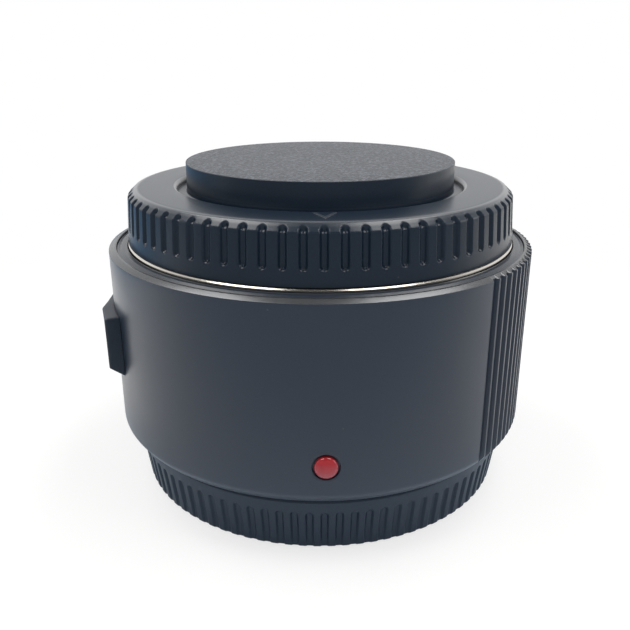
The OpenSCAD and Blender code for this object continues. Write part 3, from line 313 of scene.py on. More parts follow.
rear_outline = [
    (0, 0, 0, ""), (REAR_BASE_R, 0, 0, ""), (REAR_R - REAR_EDGE, 0, REAR_EDGE_ROUND, "slot"),
    (rear_wall(REAR_EDGE), REAR_EDGE, REAR_EDGE_ROUND, "slot"),
]
rear_outline += [(rear_wall(z), z, 0, "slot") for z in REAR_ROWS]
rear_outline += [
    (REAR_CHAMFER_R, REAR_CHAMFER_Z, 0.1, ""), (REAR_TOP_R, REAR_H, 0.1, ""),
    (CUP_R, REAR_H, CUP_ROUND, ""), (CUP_R, CLAW_HIGH + HAIR, 0, ""), (CUP_R, CLAW_HIGH, 0, "claw"),
    (CUP_R, CLAW_LOW, 0, "claw"), (CUP_R, CLAW_LOW - HAIR, 0, ""), (CUP_R, CUP_FLOOR, 0, ""),
    (0, CUP_FLOOR, 0, ""),
]


def rear_shape(tag, r, az, z):
    if tag == "claw" and abs(from_middle(az, CLAWS)) <= CLAW_SPAN / 2:
        return CLAW_R, z
    if tag != "slot":
        return r, z
    u = math.radians(from_middle(az, REAR_SLOTS, REAR_SLOT_TURN)) * REAR_R
    inside = REAR_SLOT_HALF - math.hypot(u, max(0.0, z - REAR_SLOT_END))
    share = REAR_FOOT_SHARE + (1 - REAR_FOOT_SHARE) * smooth_step(*REAR_FOOT_RUN, z)
    return r - REAR_SLOT_DEPTH * share * smooth_step(*REAR_SLOT_LIP, inside), z


rear_across = [-u for u in reversed(REAR_STEPS)] + list(REAR_STEPS)
rear_steps = [math.degrees(u / REAR_R) for u in rear_across]
rear_cap = lathe("rear_cap_moulding", rounded(rear_outline),
                 repeat_angles(REAR_SLOTS, rear_steps, REAR_SLOT_TURN), rear_shape,
                 every=REAR_PLAIN_EVERY)
CAP_DUST = (0.05, 0.052, 0.055)
# The rear cap's black is painted lighter than the front cap's, standing in for light bounced up
# from the floor.
rear_cap_painted_lighter = grained("rear_cap_black_painted_lighter", (0.0145, 0.0248, 0.0405), (0.0185, 0.0295, 0.0475),
                    rough=(0.33, 0.39), scale=5200.0, bump=0.1, specular=0.43, dust=CAP_DUST)
rear_cap.data.materials.append(rear_cap_painted_lighter)
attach(rear_cap, "rear_cap")
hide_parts("rear_cap")

# Rear mount. A turned and plated brass bayonet, its countersunk screws, a rubber gasket round the
# flange, and the black block of gold pads that meets the camera's contacts.
TURNED_RELIEF = 0.03 * MM


def coordinates(tree, kind="Object"):
    """Coordinates as one vector, and split into X, Y and Z."""
    place = tree.nodes.new("ShaderNodeTexCoord").outputs[kind]
    split = tree.nodes.new("ShaderNodeSeparateXYZ")
    tree.links.new(place, split.inputs["Vector"])
    return place, split.outputs


def distance(tree, vector):
    node = tree.nodes.new("ShaderNodeVectorMath")
    node.operation = "LENGTH"
    tree.links.new(vector, node.inputs[0])
    return node.outputs["Value"]


def joined(tree, x, y):
    node = tree.nodes.new("ShaderNodeCombineXYZ")
    tree.links.new(x, node.inputs["X"])
    tree.links.new(y, node.inputs["Y"])
    return node.outputs["Vector"]


def turned_group():
    """Fine lines left by turning: a height that varies with the distance from the axis."""
    group, start, end = effect_group("turned_lines", {"Scale": 5000.0}, ("Height",))
    split = coordinates(group)[1]
    reach = distance(group, joined(group, split["X"], split["Y"]))
    lines = group.nodes.new("ShaderNodeTexNoise")
    lines.inputs["Detail"].default_value = 3.0
    group.links.new(joined(group, reach, split["Z"]), lines.inputs["Vector"])
    group.links.new(start["Scale"], lines.inputs["Scale"])
    group.links.new(lines.outputs["Fac"], end["Height"])
    return group


TURNED = turned_group()


def turned_metal(name, dark, light, rough, scale, bump):
    """Turned or drawn metal: fine lines in its gloss and bump, a slow mottle in its colour."""
    material, tree, shader = plain_material(name)
    lines = group_node(tree, TURNED, Scale=scale)
    mottle = mapped(tree, group_node(tree, GRAIN)["Mottle"], MOTTLE_SPAN)
    tree.links.new(mixed(tree, mottle, dark, light), shader.inputs["Base Color"])
    tree.links.new(mapped(tree, lines["Height"], MOTTLE_SPAN, rough), shader.inputs["Roughness"])
    shader.inputs["Metallic"].default_value = 1.0
    bumped(tree, shader, lines["Height"], bump, TURNED_RELIEF)
    return material


def dress(material, slot, *names):
    """Gives CAD nodes that are shown as they are their material."""
    for name in names:
        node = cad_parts[name]
        node.data.materials.clear()
        node.data.materials.append(material)


mount_bright = turned_metal("mount_bright_plate", (0.62, 0.585, 0.53), (0.72, 0.685, 0.63),
                            rough=(0.16, 0.24), scale=6000.0, bump=0.01)
screw_steel = turned_metal("screw_steel", (0.42, 0.42, 0.43), (0.55, 0.55, 0.56),
                           rough=(0.25, 0.4), scale=4000.0, bump=0.1)
gasket_rubber = grained("gasket_rubber", (0.008, 0.008, 0.009), (0.012, 0.012, 0.013),
                        rough=(0.6, 0.75), scale=2500.0, bump=0.2, specular=0.3)
block_black = grained("block_black", (0.01, 0.01, 0.011), (0.014, 0.014, 0.015),
                      rough=(0.5, 0.6), scale=4000.0, bump=0.15, specular=0.4)
contact_gold = turned_metal("contact_gold", (0.72, 0.5, 0.16), (0.83, 0.62, 0.25),
                            rough=(0.18, 0.3), scale=4000.0, bump=0.08)
dress(mount_bright, "mount_bright", "rear_mount_ring")
dress(screw_steel, "screw_steel", "rear_mount_screws")
dress(gasket_rubber, "gasket_rubber", "mount_gasket")
dress(block_black, "block_black", "rear_contact_block")
dress(contact_gold, "contact_gold", "rear_contact_pads")

# Main frame and lens cells. A cast light-alloy frame with machined seats carries two black anodised
# cells from both sides of its web. Coated glass sits on ledges in the cells under thin rings.
GLASS_IOR = 1.6
GLASS_MOTTLE = 40.0


def shader_of(material):
    return material.node_tree.nodes["Principled BSDF"]


frame_metal = grained("frame_cast_metal", (0.25, 0.26, 0.28), (0.33, 0.34, 0.36),
                      rough=(0.45, 0.6), scale=1500.0, bump=0.3, specular=0.5)
shader_of(frame_metal).inputs["Metallic"].default_value = 1.0
cell_black = turned_metal("cell_black_anodised", (0.014, 0.014, 0.016), (0.02, 0.02, 0.022),
                          rough=(0.45, 0.6), scale=5000.0, bump=0.12)
dress(frame_metal, "frame_metal", "main_frame")
dress(cell_black, "cell_black", "rear_lens_cell", "rear_light_mask", "rear_retaining_ring",
      "triplet_retaining_ring", "front_lens_cell", "spacer_ring", "front_retaining_ring")
dress(screw_steel, "screw_steel", "cell_screws")

lens_glass, tree, shader = plain_material("lens_glass")
mottle = group_node(tree, GRAIN, Scale=GLASS_MOTTLE)["Mottle"]
glass_tone = mixed(tree, mottle, (0.86, 0.94, 0.97), (0.93, 0.97, 0.95))
tree.links.new(glass_tone, shader.inputs["Base Color"])
tree.links.new(mapped(tree, mottle, MOTTLE_SPAN, (0.0, 0.02)), shader.inputs["Roughness"])
shader.inputs["Transmission Weight"].default_value = 1.0
shader.inputs["IOR"].default_value = GLASS_IOR
dress(lens_glass, "lens_glass", "rear_glass", "triplet_front_glass", "triplet_middle_glass",
      "triplet_rear_glass", "doublet_front_glass", "doublet_rear_glass", "front_glass")

# Circuit. A curved green board with four chips stands on posts, and an amber flexible strip runs
# from it to the sprung gold pins in the front contact block.
board_green = grained("board_green", (0.012, 0.1, 0.045), (0.02, 0.14, 0.065),
                      rough=(0.3, 0.42), scale=2500.0, bump=0.1, specular=0.5)
chip_black = grained("chip_black", (0.008, 0.008, 0.009), (0.013, 0.013, 0.013),
                     rough=(0.5, 0.62), scale=3500.0, bump=0.15, specular=0.4)
flex_amber = grained("flex_amber", (0.42, 0.17, 0.03), (0.52, 0.24, 0.05),
                     rough=(0.28, 0.4), scale=1800.0, bump=0.06, specular=0.5)
dress(board_green, "board_green", "circuit_board")
dress(chip_black, "chip_black", "circuit_chips")
dress(flex_amber, "flex_amber", "flex_circuit")
dress(block_black, "block_black", "front_contact_block")
dress(contact_gold, "contact_gold", "front_contact_pins")

# Lens lock. A machined steel pin on a coil spring with closed ends, which shortens as the pin goes
# down. A steel slider behind the barrel, screwed to the lever's stem, draws the pin with its
# inclined slot.
lock_steel = turned_metal("lock_steel", (0.4, 0.41, 0.43), (0.5, 0.51, 0.53),
                          rough=(0.28, 0.4), scale=5000.0, bump=0.1)
spring_steel = turned_metal("spring_steel", (0.36, 0.36, 0.37), (0.46, 0.46, 0.47),
                            rough=(0.25, 0.36), scale=5000.0, bump=0.08)
dress(lock_steel, "lock_steel", "lens_lock_pin", "lever_slider")
dress(spring_steel, "spring_steel", "mount_springs")
dress(screw_steel, "screw_steel", "lever_screws")

LOCK_R, LOCK_AZ, LOCK_TRAVEL = 27.68, -82.0, 2.0
SPRING_LOW, SPRING_HIGH, SPRING_GAP = 21.6, 28.0, 0.06
SPRING_R, WIRE_R = 1.025, 0.175
SPRING_TURNS, CLOSED_PITCH = 7, 0.39
SPRING_STEPS, WIRE_SIDES = 24, 10


def tube_faces(rings, sides):
    """Faces between closed rings of points that follow one another."""
    faces = []
    for i in range(rings - 1):
        low, high = i * sides, (i + 1) * sides
        for j in range(sides):
            k = (j + 1) % sides
            faces.append((low + j, low + k, high + k, high + j))
    return faces


open_turns = SPRING_TURNS - 2
spring_run = SPRING_HIGH - SPRING_LOW - 2 * SPRING_GAP - 2 * WIRE_R
open_pitch = (spring_run - 2 * CLOSED_PITCH) / open_turns
spring_axis = turn(LOCK_R, LOCK_AZ, SPRING_LOW)
spring_verts = []
spring_rings = SPRING_TURNS * SPRING_STEPS + 1
for i in range(spring_rings):
    t = i / SPRING_STEPS
    rise = CLOSED_PITCH * (min(t, 1) + max(0, t - SPRING_TURNS + 1))
    rise += open_pitch * min(max(t - 1, 0), open_turns)
    for k in range(WIRE_SIDES):
        b = 2 * math.pi * k / WIRE_SIDES
        z = SPRING_GAP + WIRE_R + rise + WIRE_R * math.sin(b)
        spring_verts.append(spring_axis + turn(SPRING_R + WIRE_R * math.cos(b), 360 * t, z))
last_ring = len(spring_verts) - WIRE_SIDES
spring_faces = [tuple(range(WIRE_SIDES)), tuple(range(last_ring, len(spring_verts)))]
spring_faces += tube_faces(spring_rings, WIRE_SIDES)
spring = finish_mesh("lock_spring_coil", spring_verts, spring_faces)
spring.data.materials.append(spring_steel)
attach(spring, "converter")
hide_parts("lock_spring")
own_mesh(spring)

# Outer barrel. A thin turned sleeve with a satin black coat, bevelled at both rims. The grip is a
# band of upright grooves cut along its full height. A round recess holds the index dome.
BARREL_R, BARREL_IN_R = 33.5, 31.9
BARREL_LOW, BARREL_TOP = 9.65, 38.8
FOOT_BEVEL_R, FOOT_BEVEL_Z = 32.6, 10.9
TOP_BEVEL_R, TOP_BEVEL_Z = 32.62, 38.38
RIM_R, RIM_LEDGE = 32.35, 37.3
RIB_R, RIB_LOW, RIB_HIGH = 31.1, 13.4, 14.6
GROOVES, GROOVE_PITCH, GRIP_MID = 32, 3.0, 90.0
GROOVE_DEPTH, GROOVE_CURVE = 0.55, 1.15
GROOVE_FLOOR_HALF, GROOVE_TOP_HALF = 0.45, 0.7
GROOVE_STEPS = (-0.85, -0.7, -0.65, -0.58, -0.45, -0.4, 0, 0.4, 0.45, 0.58, 0.65, 0.7)
DOME_Z = 15.5
PATCH, PATCH_STEPS = 2.6, 8
SEAT_R, SEAT_DEPTH, SEAT_EDGE, SEAT_TAPER = 1.95, 0.6, 0.04, 0.03
SLOT_AZ = (-90.2276, -73.3724)
SLOT_Z = (22.45, 26.75)
FRONT_STEPS, BACK_STEPS, SLOT_STEPS, LEFT_STEPS = 26, 80, 10, 46


def groove_radius(az):
    first = GRIP_MID - GROOVE_PITCH * (GROOVES - 1) / 2
    place = (az - first) / GROOVE_PITCH
    index = min(GROOVES - 1, max(0, round(place)))
    u = abs(math.radians((place - index) * GROOVE_PITCH)) * BARREL_R
    if u <= GROOVE_FLOOR_HALF:
        return BARREL_R - GROOVE_DEPTH
    if u >= GROOVE_TOP_HALF:
        return BARREL_R
    t = (u - GROOVE_FLOOR_HALF) / (GROOVE_TOP_HALF - GROOVE_FLOOR_HALF)
    return BARREL_R - GROOVE_DEPTH * (1 - t) ** GROOVE_CURVE


def spread(low, high, steps, first=0, last=0):
    """Even steps from low towards high, without the high end unless last adds it."""
    return [low + (high - low) * i / steps for i in range(first, steps + last)]


patch_az = math.degrees(PATCH / BARREL_R)
grip_low = GRIP_MID - GROOVE_PITCH * GROOVES / 2
grip_high = GRIP_MID + GROOVE_PITCH * GROOVES / 2 - 360
barrel_angles = spread(-patch_az, patch_az, PATCH_STEPS, last=1)
barrel_angles += spread(patch_az, grip_low, FRONT_STEPS, first=1)
for i in range(GROOVES):
    middle = grip_low + GROOVE_PITCH * (i + 0.5)
    barrel_angles += [middle + math.degrees(u / BARREL_R) for u in GROOVE_STEPS]
barrel_angles += spread(grip_high, SLOT_AZ[0], BACK_STEPS, last=1)
barrel_angles += spread(SLOT_AZ[0], SLOT_AZ[1], SLOT_STEPS, first=1)
barrel_angles += spread(SLOT_AZ[1], -patch_az, LEFT_STEPS)

patch_rows = spread(DOME_Z - PATCH, DOME_Z + PATCH, PATCH_STEPS, last=1)
wall_rows = [11.9] + patch_rows + [19.4, 20.9, SLOT_Z[0], 23.5, 24.6, 25.7, SLOT_Z[1]]
wall_rows += [28.5, 30.5, 32.5, 34.5, 36.5, 37.6]
barrel_outline = [(FOOT_BEVEL_R, BARREL_LOW, 0.25, "out"), (BARREL_R, FOOT_BEVEL_Z, 0.4, "out")]
barrel_outline += [(BARREL_R, z, 0, "out") for z in wall_rows]
barrel_outline += [
    (BARREL_R, TOP_BEVEL_Z, 0.06, "out"), (TOP_BEVEL_R, BARREL_TOP, 0.08, "out"),
    (RIM_R, BARREL_TOP, 0.04, ""), (RIM_R, RIM_LEDGE, 0, ""), (BARREL_IN_R, RIM_LEDGE, 0, ""),
    (BARREL_IN_R, SLOT_Z[1], 0, "in"), (BARREL_IN_R, SLOT_Z[0], 0, "in"),
    (BARREL_IN_R, RIB_HIGH, 0, ""), (RIB_R, RIB_HIGH, 0, ""), (RIB_R, RIB_LOW, 0, ""),
    (BARREL_IN_R, RIB_LOW, 0, ""), (BARREL_IN_R, BARREL_LOW, 0, ""),
]
barrel_profile = rounded(barrel_outline, loop=True)


def build_barrel():
    n = len(barrel_angles)
    verts = []
    rows = []
    for r, z, tag in barrel_profile:
        rows.append(list(range(len(verts), len(verts) + n)))
        for a in barrel_angles:
            verts.append(turn(min(r, groove_radius(a)) if tag == "out" else r, a, z))

    def row_at(z, tag):
        return next(i for i, p in enumerate(barrel_profile) if p[1:] == (z, tag))

    def column_at(az):
        return min(range(n), key=lambda j: abs(barrel_angles[j] - az))

    low_row = row_at(patch_rows[0], "out")
    slot_low, slot_high = (row_at(z, "out") for z in SLOT_Z)
    inner_high = row_at(SLOT_Z[1], "in")
    inner_low = inner_high + 1
    first, last = (column_at(az) for az in SLOT_AZ)
    faces = []
    for i in range(len(rows)):
        low, high = rows[i], rows[(i + 1) % len(rows)]
        for j in range(n):
            k = (j + 1) % n
            in_patch = low_row <= i < low_row + PATCH_STEPS and j < PATCH_STEPS
            in_slot = first <= j < last and (slot_low <= i < slot_high or i == inner_high)
            if not in_patch and not in_slot:
                faces.append((low[j], low[k], high[k], high[j]))
    for j in range(first, last):
        k = j + 1
        outer, inner = rows[slot_high], rows[inner_high]
        faces.append((outer[j], outer[k], inner[k], inner[j]))
        outer, inner = rows[slot_low], rows[inner_low]
        faces.append((outer[k], outer[j], inner[j], inner[k]))
    for j in (first, last):
        edge = [rows[i][j] for i in range(slot_low, slot_high + 1)]
        faces.append(edge + [rows[inner_high][j], rows[inner_low][j]])
    # The square of the grid around the dome runs into a round recess
    steps = range(PATCH_STEPS)
    corner = [(i, 0) for i in steps] + [(PATCH_STEPS, j) for j in steps]
    corner += [(PATCH_STEPS - i, PATCH_STEPS) for i in steps]
    corner += [(0, PATCH_STEPS - j) for j in steps]
    square = [[PATCH * (2 * k / PATCH_STEPS - 1) for k in (j, i)] for i, j in corner]
    ring = [rows[low_row + i][j] for i, j in corner]
    mouth, bore = SEAT_R + SEAT_EDGE, SEAT_R - SEAT_TAPER
    rounds = [(0.34, mouth, 0), (0.67, mouth, 0), (1, mouth, 0), (1, SEAT_R, 0.02), (1, bore, 0.07),
              (1, bore, SEAT_DEPTH)]
    for share, circle, depth in rounds:
        new = []
        for u, v in square:
            s = 1 + share * (circle / math.hypot(u, v) - 1)
            new.append(len(verts))
            verts.append(turn(BARREL_R - depth, math.degrees(u * s / BARREL_R), DOME_Z + v * s))
        for a in range(len(ring)):
            b = (a + 1) % len(ring)
            faces.append((ring[a], ring[b], new[b], new[a]))
        ring = new
    faces.append(tuple(ring))
    return finish_mesh("barrel_sleeve", verts, faces, 30.0)


BEVEL_SPAN = (38.36 * MM, 38.4 * MM)
BEVEL_GREY, BEVEL_ROUGH, BEVEL_METAL = (0.108, 0.112, 0.118), 0.25, 0.65
WALL_COAT, WALL_COAT_ROUGH = 0.5, 0.3
barrel = build_barrel()
barrel_black = grained("barrel_satin_black", (0.018, 0.0278, 0.045), (0.0242, 0.0348, 0.0545),
                       rough=(0.36, 0.42), scale=8000.0, bump=0.08, specular=0.46,
                       dust=(0.06, 0.065, 0.07))
tree, shader = barrel_black.node_tree, shader_of(barrel_black)
bevel = mapped(tree, coordinates(tree)[1]["Z"], BEVEL_SPAN)
for name, look, kind in (("Base Color", BEVEL_GREY, "RGBA"), ("Roughness", BEVEL_ROUGH, "FLOAT")):
    wall_look = shader.inputs[name].links[0].from_socket
    tree.links.new(mixed(tree, bevel, wall_look, look, kind), shader.inputs[name])
tree.links.new(mapped(tree, bevel, (0, 1), (0, BEVEL_METAL)), shader.inputs["Metallic"])
tree.links.new(mapped(tree, bevel, (0, 1), (WALL_COAT, 0)), shader.inputs["Coat Weight"])
shader.inputs["Coat Roughness"].default_value = WALL_COAT_ROUGH
barrel.data.materials.append(barrel_black)
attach(barrel, "converter")
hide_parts("outer_barrel")

# Index dome. A small polished dome moulded in red plastic, with a flat shoulder and a thin stem
# behind it. It is glued into the barrel's round recess.
DOME_R, DOME_RISE, DOME_SHOULDER = 1.62, 0.745, -0.6
DOME_STEM_R, DOME_STEM_END = 0.96, -1.6
DOME_STEPS, DOME_SIDES = 16, 48
DOME_COAT = 0.7


def as_drawn(tag, r, az, z):
    return r, z


dome_profile = [
    (0, DOME_STEM_END, ""), (DOME_STEM_R, DOME_STEM_END, ""), (DOME_STEM_R, DOME_SHOULDER, ""),
    (DOME_R - 0.03, DOME_SHOULDER, ""), (DOME_R, DOME_SHOULDER + 0.04, ""), (DOME_R, -0.02, ""),
]
for i in range(1, DOME_STEPS):
    tilt = math.pi / 2 * (1 - i / DOME_STEPS)
    dome_profile.append((DOME_R * math.sin(tilt), DOME_RISE * math.cos(tilt), ""))
dome_profile.append((0, DOME_RISE, ""))
dome_angles = [i * 360 / DOME_SIDES for i in range(DOME_SIDES)]
index_dome = lathe("index_dome_red", dome_profile, dome_angles, as_drawn)
for v in index_dome.data.vertices:
    x, y, z = v.co
    v.co = (x, -BARREL_R * MM - z, DOME_Z * MM + y)
index_red = grained("index_red_plastic", (0.37, 0.017, 0.024), (0.41, 0.021, 0.029),
                    rough=(0.04, 0.07), scale=900.0, bump=0.02, specular=0.5)
shader_of(index_red).inputs["Coat Weight"].default_value = DOME_COAT
index_dome.data.materials.append(index_red)
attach(index_dome, "converter")
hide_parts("index_dome")

# Release lever. A moulded black fin that slides round the barrel, with a steep side towards the
# index, a flat back and a long tail, on a stem that passes through the barrel's slot.
LEVER_IN_R = 33.55
LEVER_FRONT_R, LEVER_BACK_R, LEVER_BACK_LOW_R = 35.78, 35.34, 34.85
LEVER_START, LEVER_FLAT_END, LEVER_END = -64.0, -74.0, -93.0
LEVER_LOW, LEVER_HIGH = 20.3, 29.9
LEVER_SLANT = 0.78
LEVER_ROUND, LEVER_FOOT_ROUND, ROUND_SHARE = 0.45, 0.16, 0.45
LEVER_THIN, LEVER_LOW_THIN = 0.1, 0.08
TAIL_R, TAIL_LOW_R = 33.8, 33.76
TAIL_START, TAIL_STEPS = -74.6, 22
FLAT_COLUMNS = (-65.5, -67, -68.5, -70, -71.4, -72.8, -73.6, -73.9, -74, -74.2)
START_STEPS, EDGE_STEPS, SIDE_STEPS = 5, 6, 5
STEM_IN_R, STEM_OUT_R, STEM_LOW, STEM_HIGH = 30.9, 33.9, 22.7, 26.5
STEM_START, STEM_SPAN, STEM_STEPS = -73.8, 8, 8


def chord_radius(az, a0, r0, a1, r1):
    """Radius at an angle of the straight line between two points given by angle and radius."""
    p, q = turn(r0, a0, 0) / MM, turn(r1, a1, 0) / MM
    d = turn(1, az, 0) / MM
    across = (q - p).x * d.y - (q - p).y * d.x
    return (p.y * (q - p).x - p.x * (q - p).y) / across


def lever_section(az, inset):
    """Outline of the fin at one angle, from the barrel out along the top and back underneath."""
    if az >= LEVER_FLAT_END:
        out = chord_radius(az, LEVER_START, LEVER_FRONT_R, LEVER_FLAT_END, LEVER_BACK_R)
        low = chord_radius(az, LEVER_START, LEVER_FRONT_R, LEVER_FLAT_END, LEVER_BACK_LOW_R)
    else:
        out = chord_radius(az, LEVER_FLAT_END, LEVER_BACK_R, LEVER_END, TAIL_R)
        low = chord_radius(az, LEVER_FLAT_END, LEVER_BACK_LOW_R, LEVER_END, TAIL_LOW_R)
    out = max(LEVER_IN_R + LEVER_THIN, out - inset)
    low = max(LEVER_IN_R + LEVER_LOW_THIN, low - inset)
    top, bottom = LEVER_HIGH - inset, LEVER_LOW + inset
    edge = min(LEVER_ROUND, ROUND_SHARE * (out - LEVER_IN_R))
    foot = min(LEVER_FOOT_ROUND, ROUND_SHARE * (low - LEVER_IN_R))
    points = [(LEVER_IN_R, top), ((LEVER_IN_R + out - edge) / 2, top)]
    for i in range(EDGE_STEPS + 1):
        a = math.pi / 2 * (1 - i / EDGE_STEPS)
        points.append((out - edge + edge * math.cos(a), top - edge + edge * math.sin(a)))
    low_out = bottom + LEVER_SLANT * (low - LEVER_IN_R)
    for i in range(1, SIDE_STEPS + 1):
        t = i / SIDE_STEPS
        points.append((out + (low - out) * t, top - edge + (low_out + foot - top + edge) * t))
    for i in range(1, EDGE_STEPS + 1):
        a = -math.pi / 2 * i / EDGE_STEPS
        r = low - foot + foot * math.cos(a)
        points.append((r, low_out + foot + foot * math.sin(a) - LEVER_SLANT * (low - r)))
    under = (low - foot - LEVER_IN_R) / 2
    points += [(LEVER_IN_R + under, bottom + LEVER_SLANT * under), (LEVER_IN_R, bottom)]
    return points


lever_columns = []
for i in range(START_STEPS + 1):
    a = math.pi / 2 * i / START_STEPS
    start = LEVER_START - math.degrees(LEVER_ROUND * (1 - math.cos(a)) / LEVER_FRONT_R)
    lever_columns.append((start, LEVER_ROUND * (1 - math.sin(a))))
lever_columns += [(az, 0) for az in FLAT_COLUMNS]
lever_columns += [(az, 0) for az in spread(TAIL_START, LEVER_END, TAIL_STEPS, last=1)]
lever_verts = []
for az, inset in lever_columns:
    section = lever_section(az, inset)
    lever_verts.extend(turn(r, az, z) for r, z in section)
sides, count = len(section), len(lever_verts)
lever_faces = [tuple(range(sides)), tuple(reversed(range(count - sides, count)))]
lever_faces += tube_faces(len(lever_columns), sides)
lever = finish_mesh("lever_fin", lever_verts, lever_faces, 32.0)

stem_verts = []
for az in spread(STEM_START, STEM_START - STEM_SPAN, STEM_STEPS, last=1):
    stem_verts += [turn(STEM_IN_R, az, STEM_LOW), turn(STEM_OUT_R, az, STEM_LOW),
                   turn(STEM_OUT_R, az, STEM_HIGH), turn(STEM_IN_R, az, STEM_HIGH)]
stem_faces = tube_faces(STEM_STEPS + 1, 4)
stem_faces += [(3, 2, 1, 0), tuple(4 * STEM_STEPS + j for j in range(4))]
stem = finish_mesh("lever_stem", stem_verts, stem_faces)


def join_solids(base, extra):
    """Makes two closed meshes that meet into one closed mesh."""
    union = base.modifiers.new("join", "BOOLEAN")
    union.operation = "UNION"
    union.object = extra
    union.solver = "EXACT"
    bpy.context.view_layer.update()
    whole = base.evaluated_get(bpy.context.evaluated_depsgraph_get())
    mesh = bpy.data.meshes.new_from_object(whole)
    base.modifiers.clear()
    base.data = mesh
    bpy.data.objects.remove(extra)


join_solids(lever, stem)
lever_black = grained("lever_black_plastic", (0.0175, 0.0265, 0.04), (0.0225, 0.032, 0.047),
                      rough=(0.36, 0.44), scale=5200.0, bump=0.1, specular=0.34)
lever.data.materials.clear()
lever.data.materials.append(lever_black)
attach(lever, "release_lever")
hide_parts("release_lever")

# Front trim ring. A thin turned black ring in the barrel's upper rim, with a slope on its face.
# It closes the gap to the bright mount and is held down by the mount's edge.
TRIM_IN_R, TRIM_BORE_R, TRIM_FOOT_R, TRIM_OUT_R = 30.05, 30.66, 31.86, 32.29
TRIM_LOW, TRIM_STEP, TRIM_SEAT, TRIM_TOP = 37.1, 37.3, 37.86, 38.85
TRIM_EDGE_Z = 38.5
TRIM_SLOPE_R, TRIM_SLOPE_Z, TRIM_FLAT_R = 31.98, 38.52, 31.4
TRIM_SIDES = 288
trim_outline = [
    (TRIM_IN_R, TRIM_LOW, 0, ""), (TRIM_FOOT_R, TRIM_LOW, 0, ""), (TRIM_FOOT_R, TRIM_STEP, 0, ""),
    (TRIM_OUT_R, TRIM_STEP, 0, ""), (TRIM_OUT_R, TRIM_EDGE_Z, 0.06, ""),
    (TRIM_SLOPE_R, TRIM_SLOPE_Z, 0.08, ""), (TRIM_FLAT_R, TRIM_TOP, 0.12, ""),
    (TRIM_BORE_R, TRIM_TOP, 0.08, ""), (TRIM_BORE_R, TRIM_SEAT, 0, ""),
    (TRIM_IN_R, TRIM_SEAT, 0, ""),
]
trim_angles = [i * 360 / TRIM_SIDES for i in range(TRIM_SIDES)]
trim = lathe("trim_ring", rounded(trim_outline, loop=True), trim_angles, as_drawn,
             loop=True, sharp=30.0)
trim_black, tree, shader = plain_material("trim_black_turned")
lines = group_node(tree, TURNED, Scale=5200.0)["Height"]
trim_tone = mixed(tree, lines, (0.013, 0.0205, 0.034), (0.021, 0.0305, 0.047))
tree.links.new(trim_tone, shader.inputs["Base Color"])
tree.links.new(mapped(tree, lines, MOTTLE_SPAN, (0.24, 0.32)), shader.inputs["Roughness"])
bumped(tree, shader, lines, 0.12, TURNED_RELIEF)
trim.data.materials.append(trim_black)
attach(trim, "converter")
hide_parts("front_trim_ring")

# Front mount. The plated ring with its bayonet claws, countersunk screws and red index dot. Only
# its bright edge shows, between the trim ring and the front cap.
dress(mount_bright, "mount_bright", "front_mount_ring")
dress(screw_steel, "screw_steel", "front_mount_screws")
dress(index_red, "index_red", "front_index_dot")

# Front cap. A moulded black cap with slots in its wall, a rounded shoulder and a raised disc in a
# moat. The disc's face has a coarse spark grain whose raised points are painted far lighter, a
# painted sparkle highlight. A small chevron on the shoulder marks the index.
CAP_RIM, CAP_RIM_R, CAP_IN_R, CAP_ROOF = 39.4, 30.44, 28.88, 45.65
CAP_WALL_R, CAP_TOP = 30.2, 47.5
CAP_CORNER = Vector((30.0, 46.4))
CAP_SLOPE = Vector((-0.7415, 0.671))
CREST_R, CREST_Z, CREST_IN_R = 28.93, 47.4, 28.3
TUBE_R, TUBE_IN_R, TUBE_LOW, TUBE_ROOF = 24.1, 22.3, 35.8, 44.65
LUGS, LUG_SPAN, LUG_R, LUG_LOW, LUG_HIGH = 4, 38, 25.5, 36.01, 37.29
MOAT_R, MOAT_LIP, MOAT_FLOOR, MOAT_STEPS = 23.2, 0.8, 46.5, 9
DISC_R, DISC_TOP, DISC_IN_R, DISC_UNDER = 21.0, 51.03, 19.4, 49.43
CAP_SLOTS = 72
CAP_SLOT_TURN = -0.4
CAP_SLOT_HALF = 0.54
CAP_SLOT_LOW, CAP_SLOT_HIGH = 42.12, 46.8
CAP_SLOT_DEPTH, CAP_SLOT_EVEN = 0.55, 0.68
CAP_SLOT_LIP = (-0.2, 0.25)
CAP_LEAN, CAP_LEAN_RUN = 48, (45.6, 47.1)
CAP_ROWS = (40.4, 41.2, 41.36, 41.42, 41.47, 41.52, 41.57, 41.63, 41.69, 41.76, 41.84, 41.94, 42.06,
            42.5, 43.3, 44.2, 45.0, 45.4, 45.75)
SLOPE_ROWS = (0.42, 0.5, 0.58, 0.65, 0.71, 0.77, 0.83, 0.89, 0.95, 1.02, 1.12)
CAP_STEPS = (0.12, 0.22, 0.31, 0.37, 0.42, 0.47, 0.52, 0.57, 0.62, 0.67, 0.72, 0.77, 0.98)
CAP_MIDWAY = 1.32
CAP_PLAIN_EVERY = 7
cap_outline = [
    (0, DISC_UNDER, 0, ""), (DISC_IN_R, DISC_UNDER, 0, ""), (DISC_IN_R, TUBE_ROOF, 0, ""),
    (TUBE_IN_R, TUBE_ROOF, 0, ""), (TUBE_IN_R, TUBE_LOW, 0, ""), (TUBE_R, TUBE_LOW, 0, ""),
    (TUBE_R, LUG_LOW - HAIR, 0, ""), (TUBE_R, LUG_LOW, 0, "lug"), (TUBE_R, LUG_HIGH, 0, "lug"),
    (TUBE_R, LUG_HIGH + HAIR, 0, ""), (TUBE_R, CAP_ROOF, 0, ""), (CAP_IN_R, CAP_ROOF, 0, ""),
    (CAP_IN_R, CAP_RIM, 0, ""), (CAP_RIM_R, CAP_RIM, 0.12, ""),
]
cap_draft = (CAP_RIM_R - CAP_CORNER.x) / (CAP_CORNER.y - CAP_RIM)
cap_outline += [(CAP_RIM_R - cap_draft * (z - CAP_RIM), z, 0, "slot") for z in CAP_ROWS]
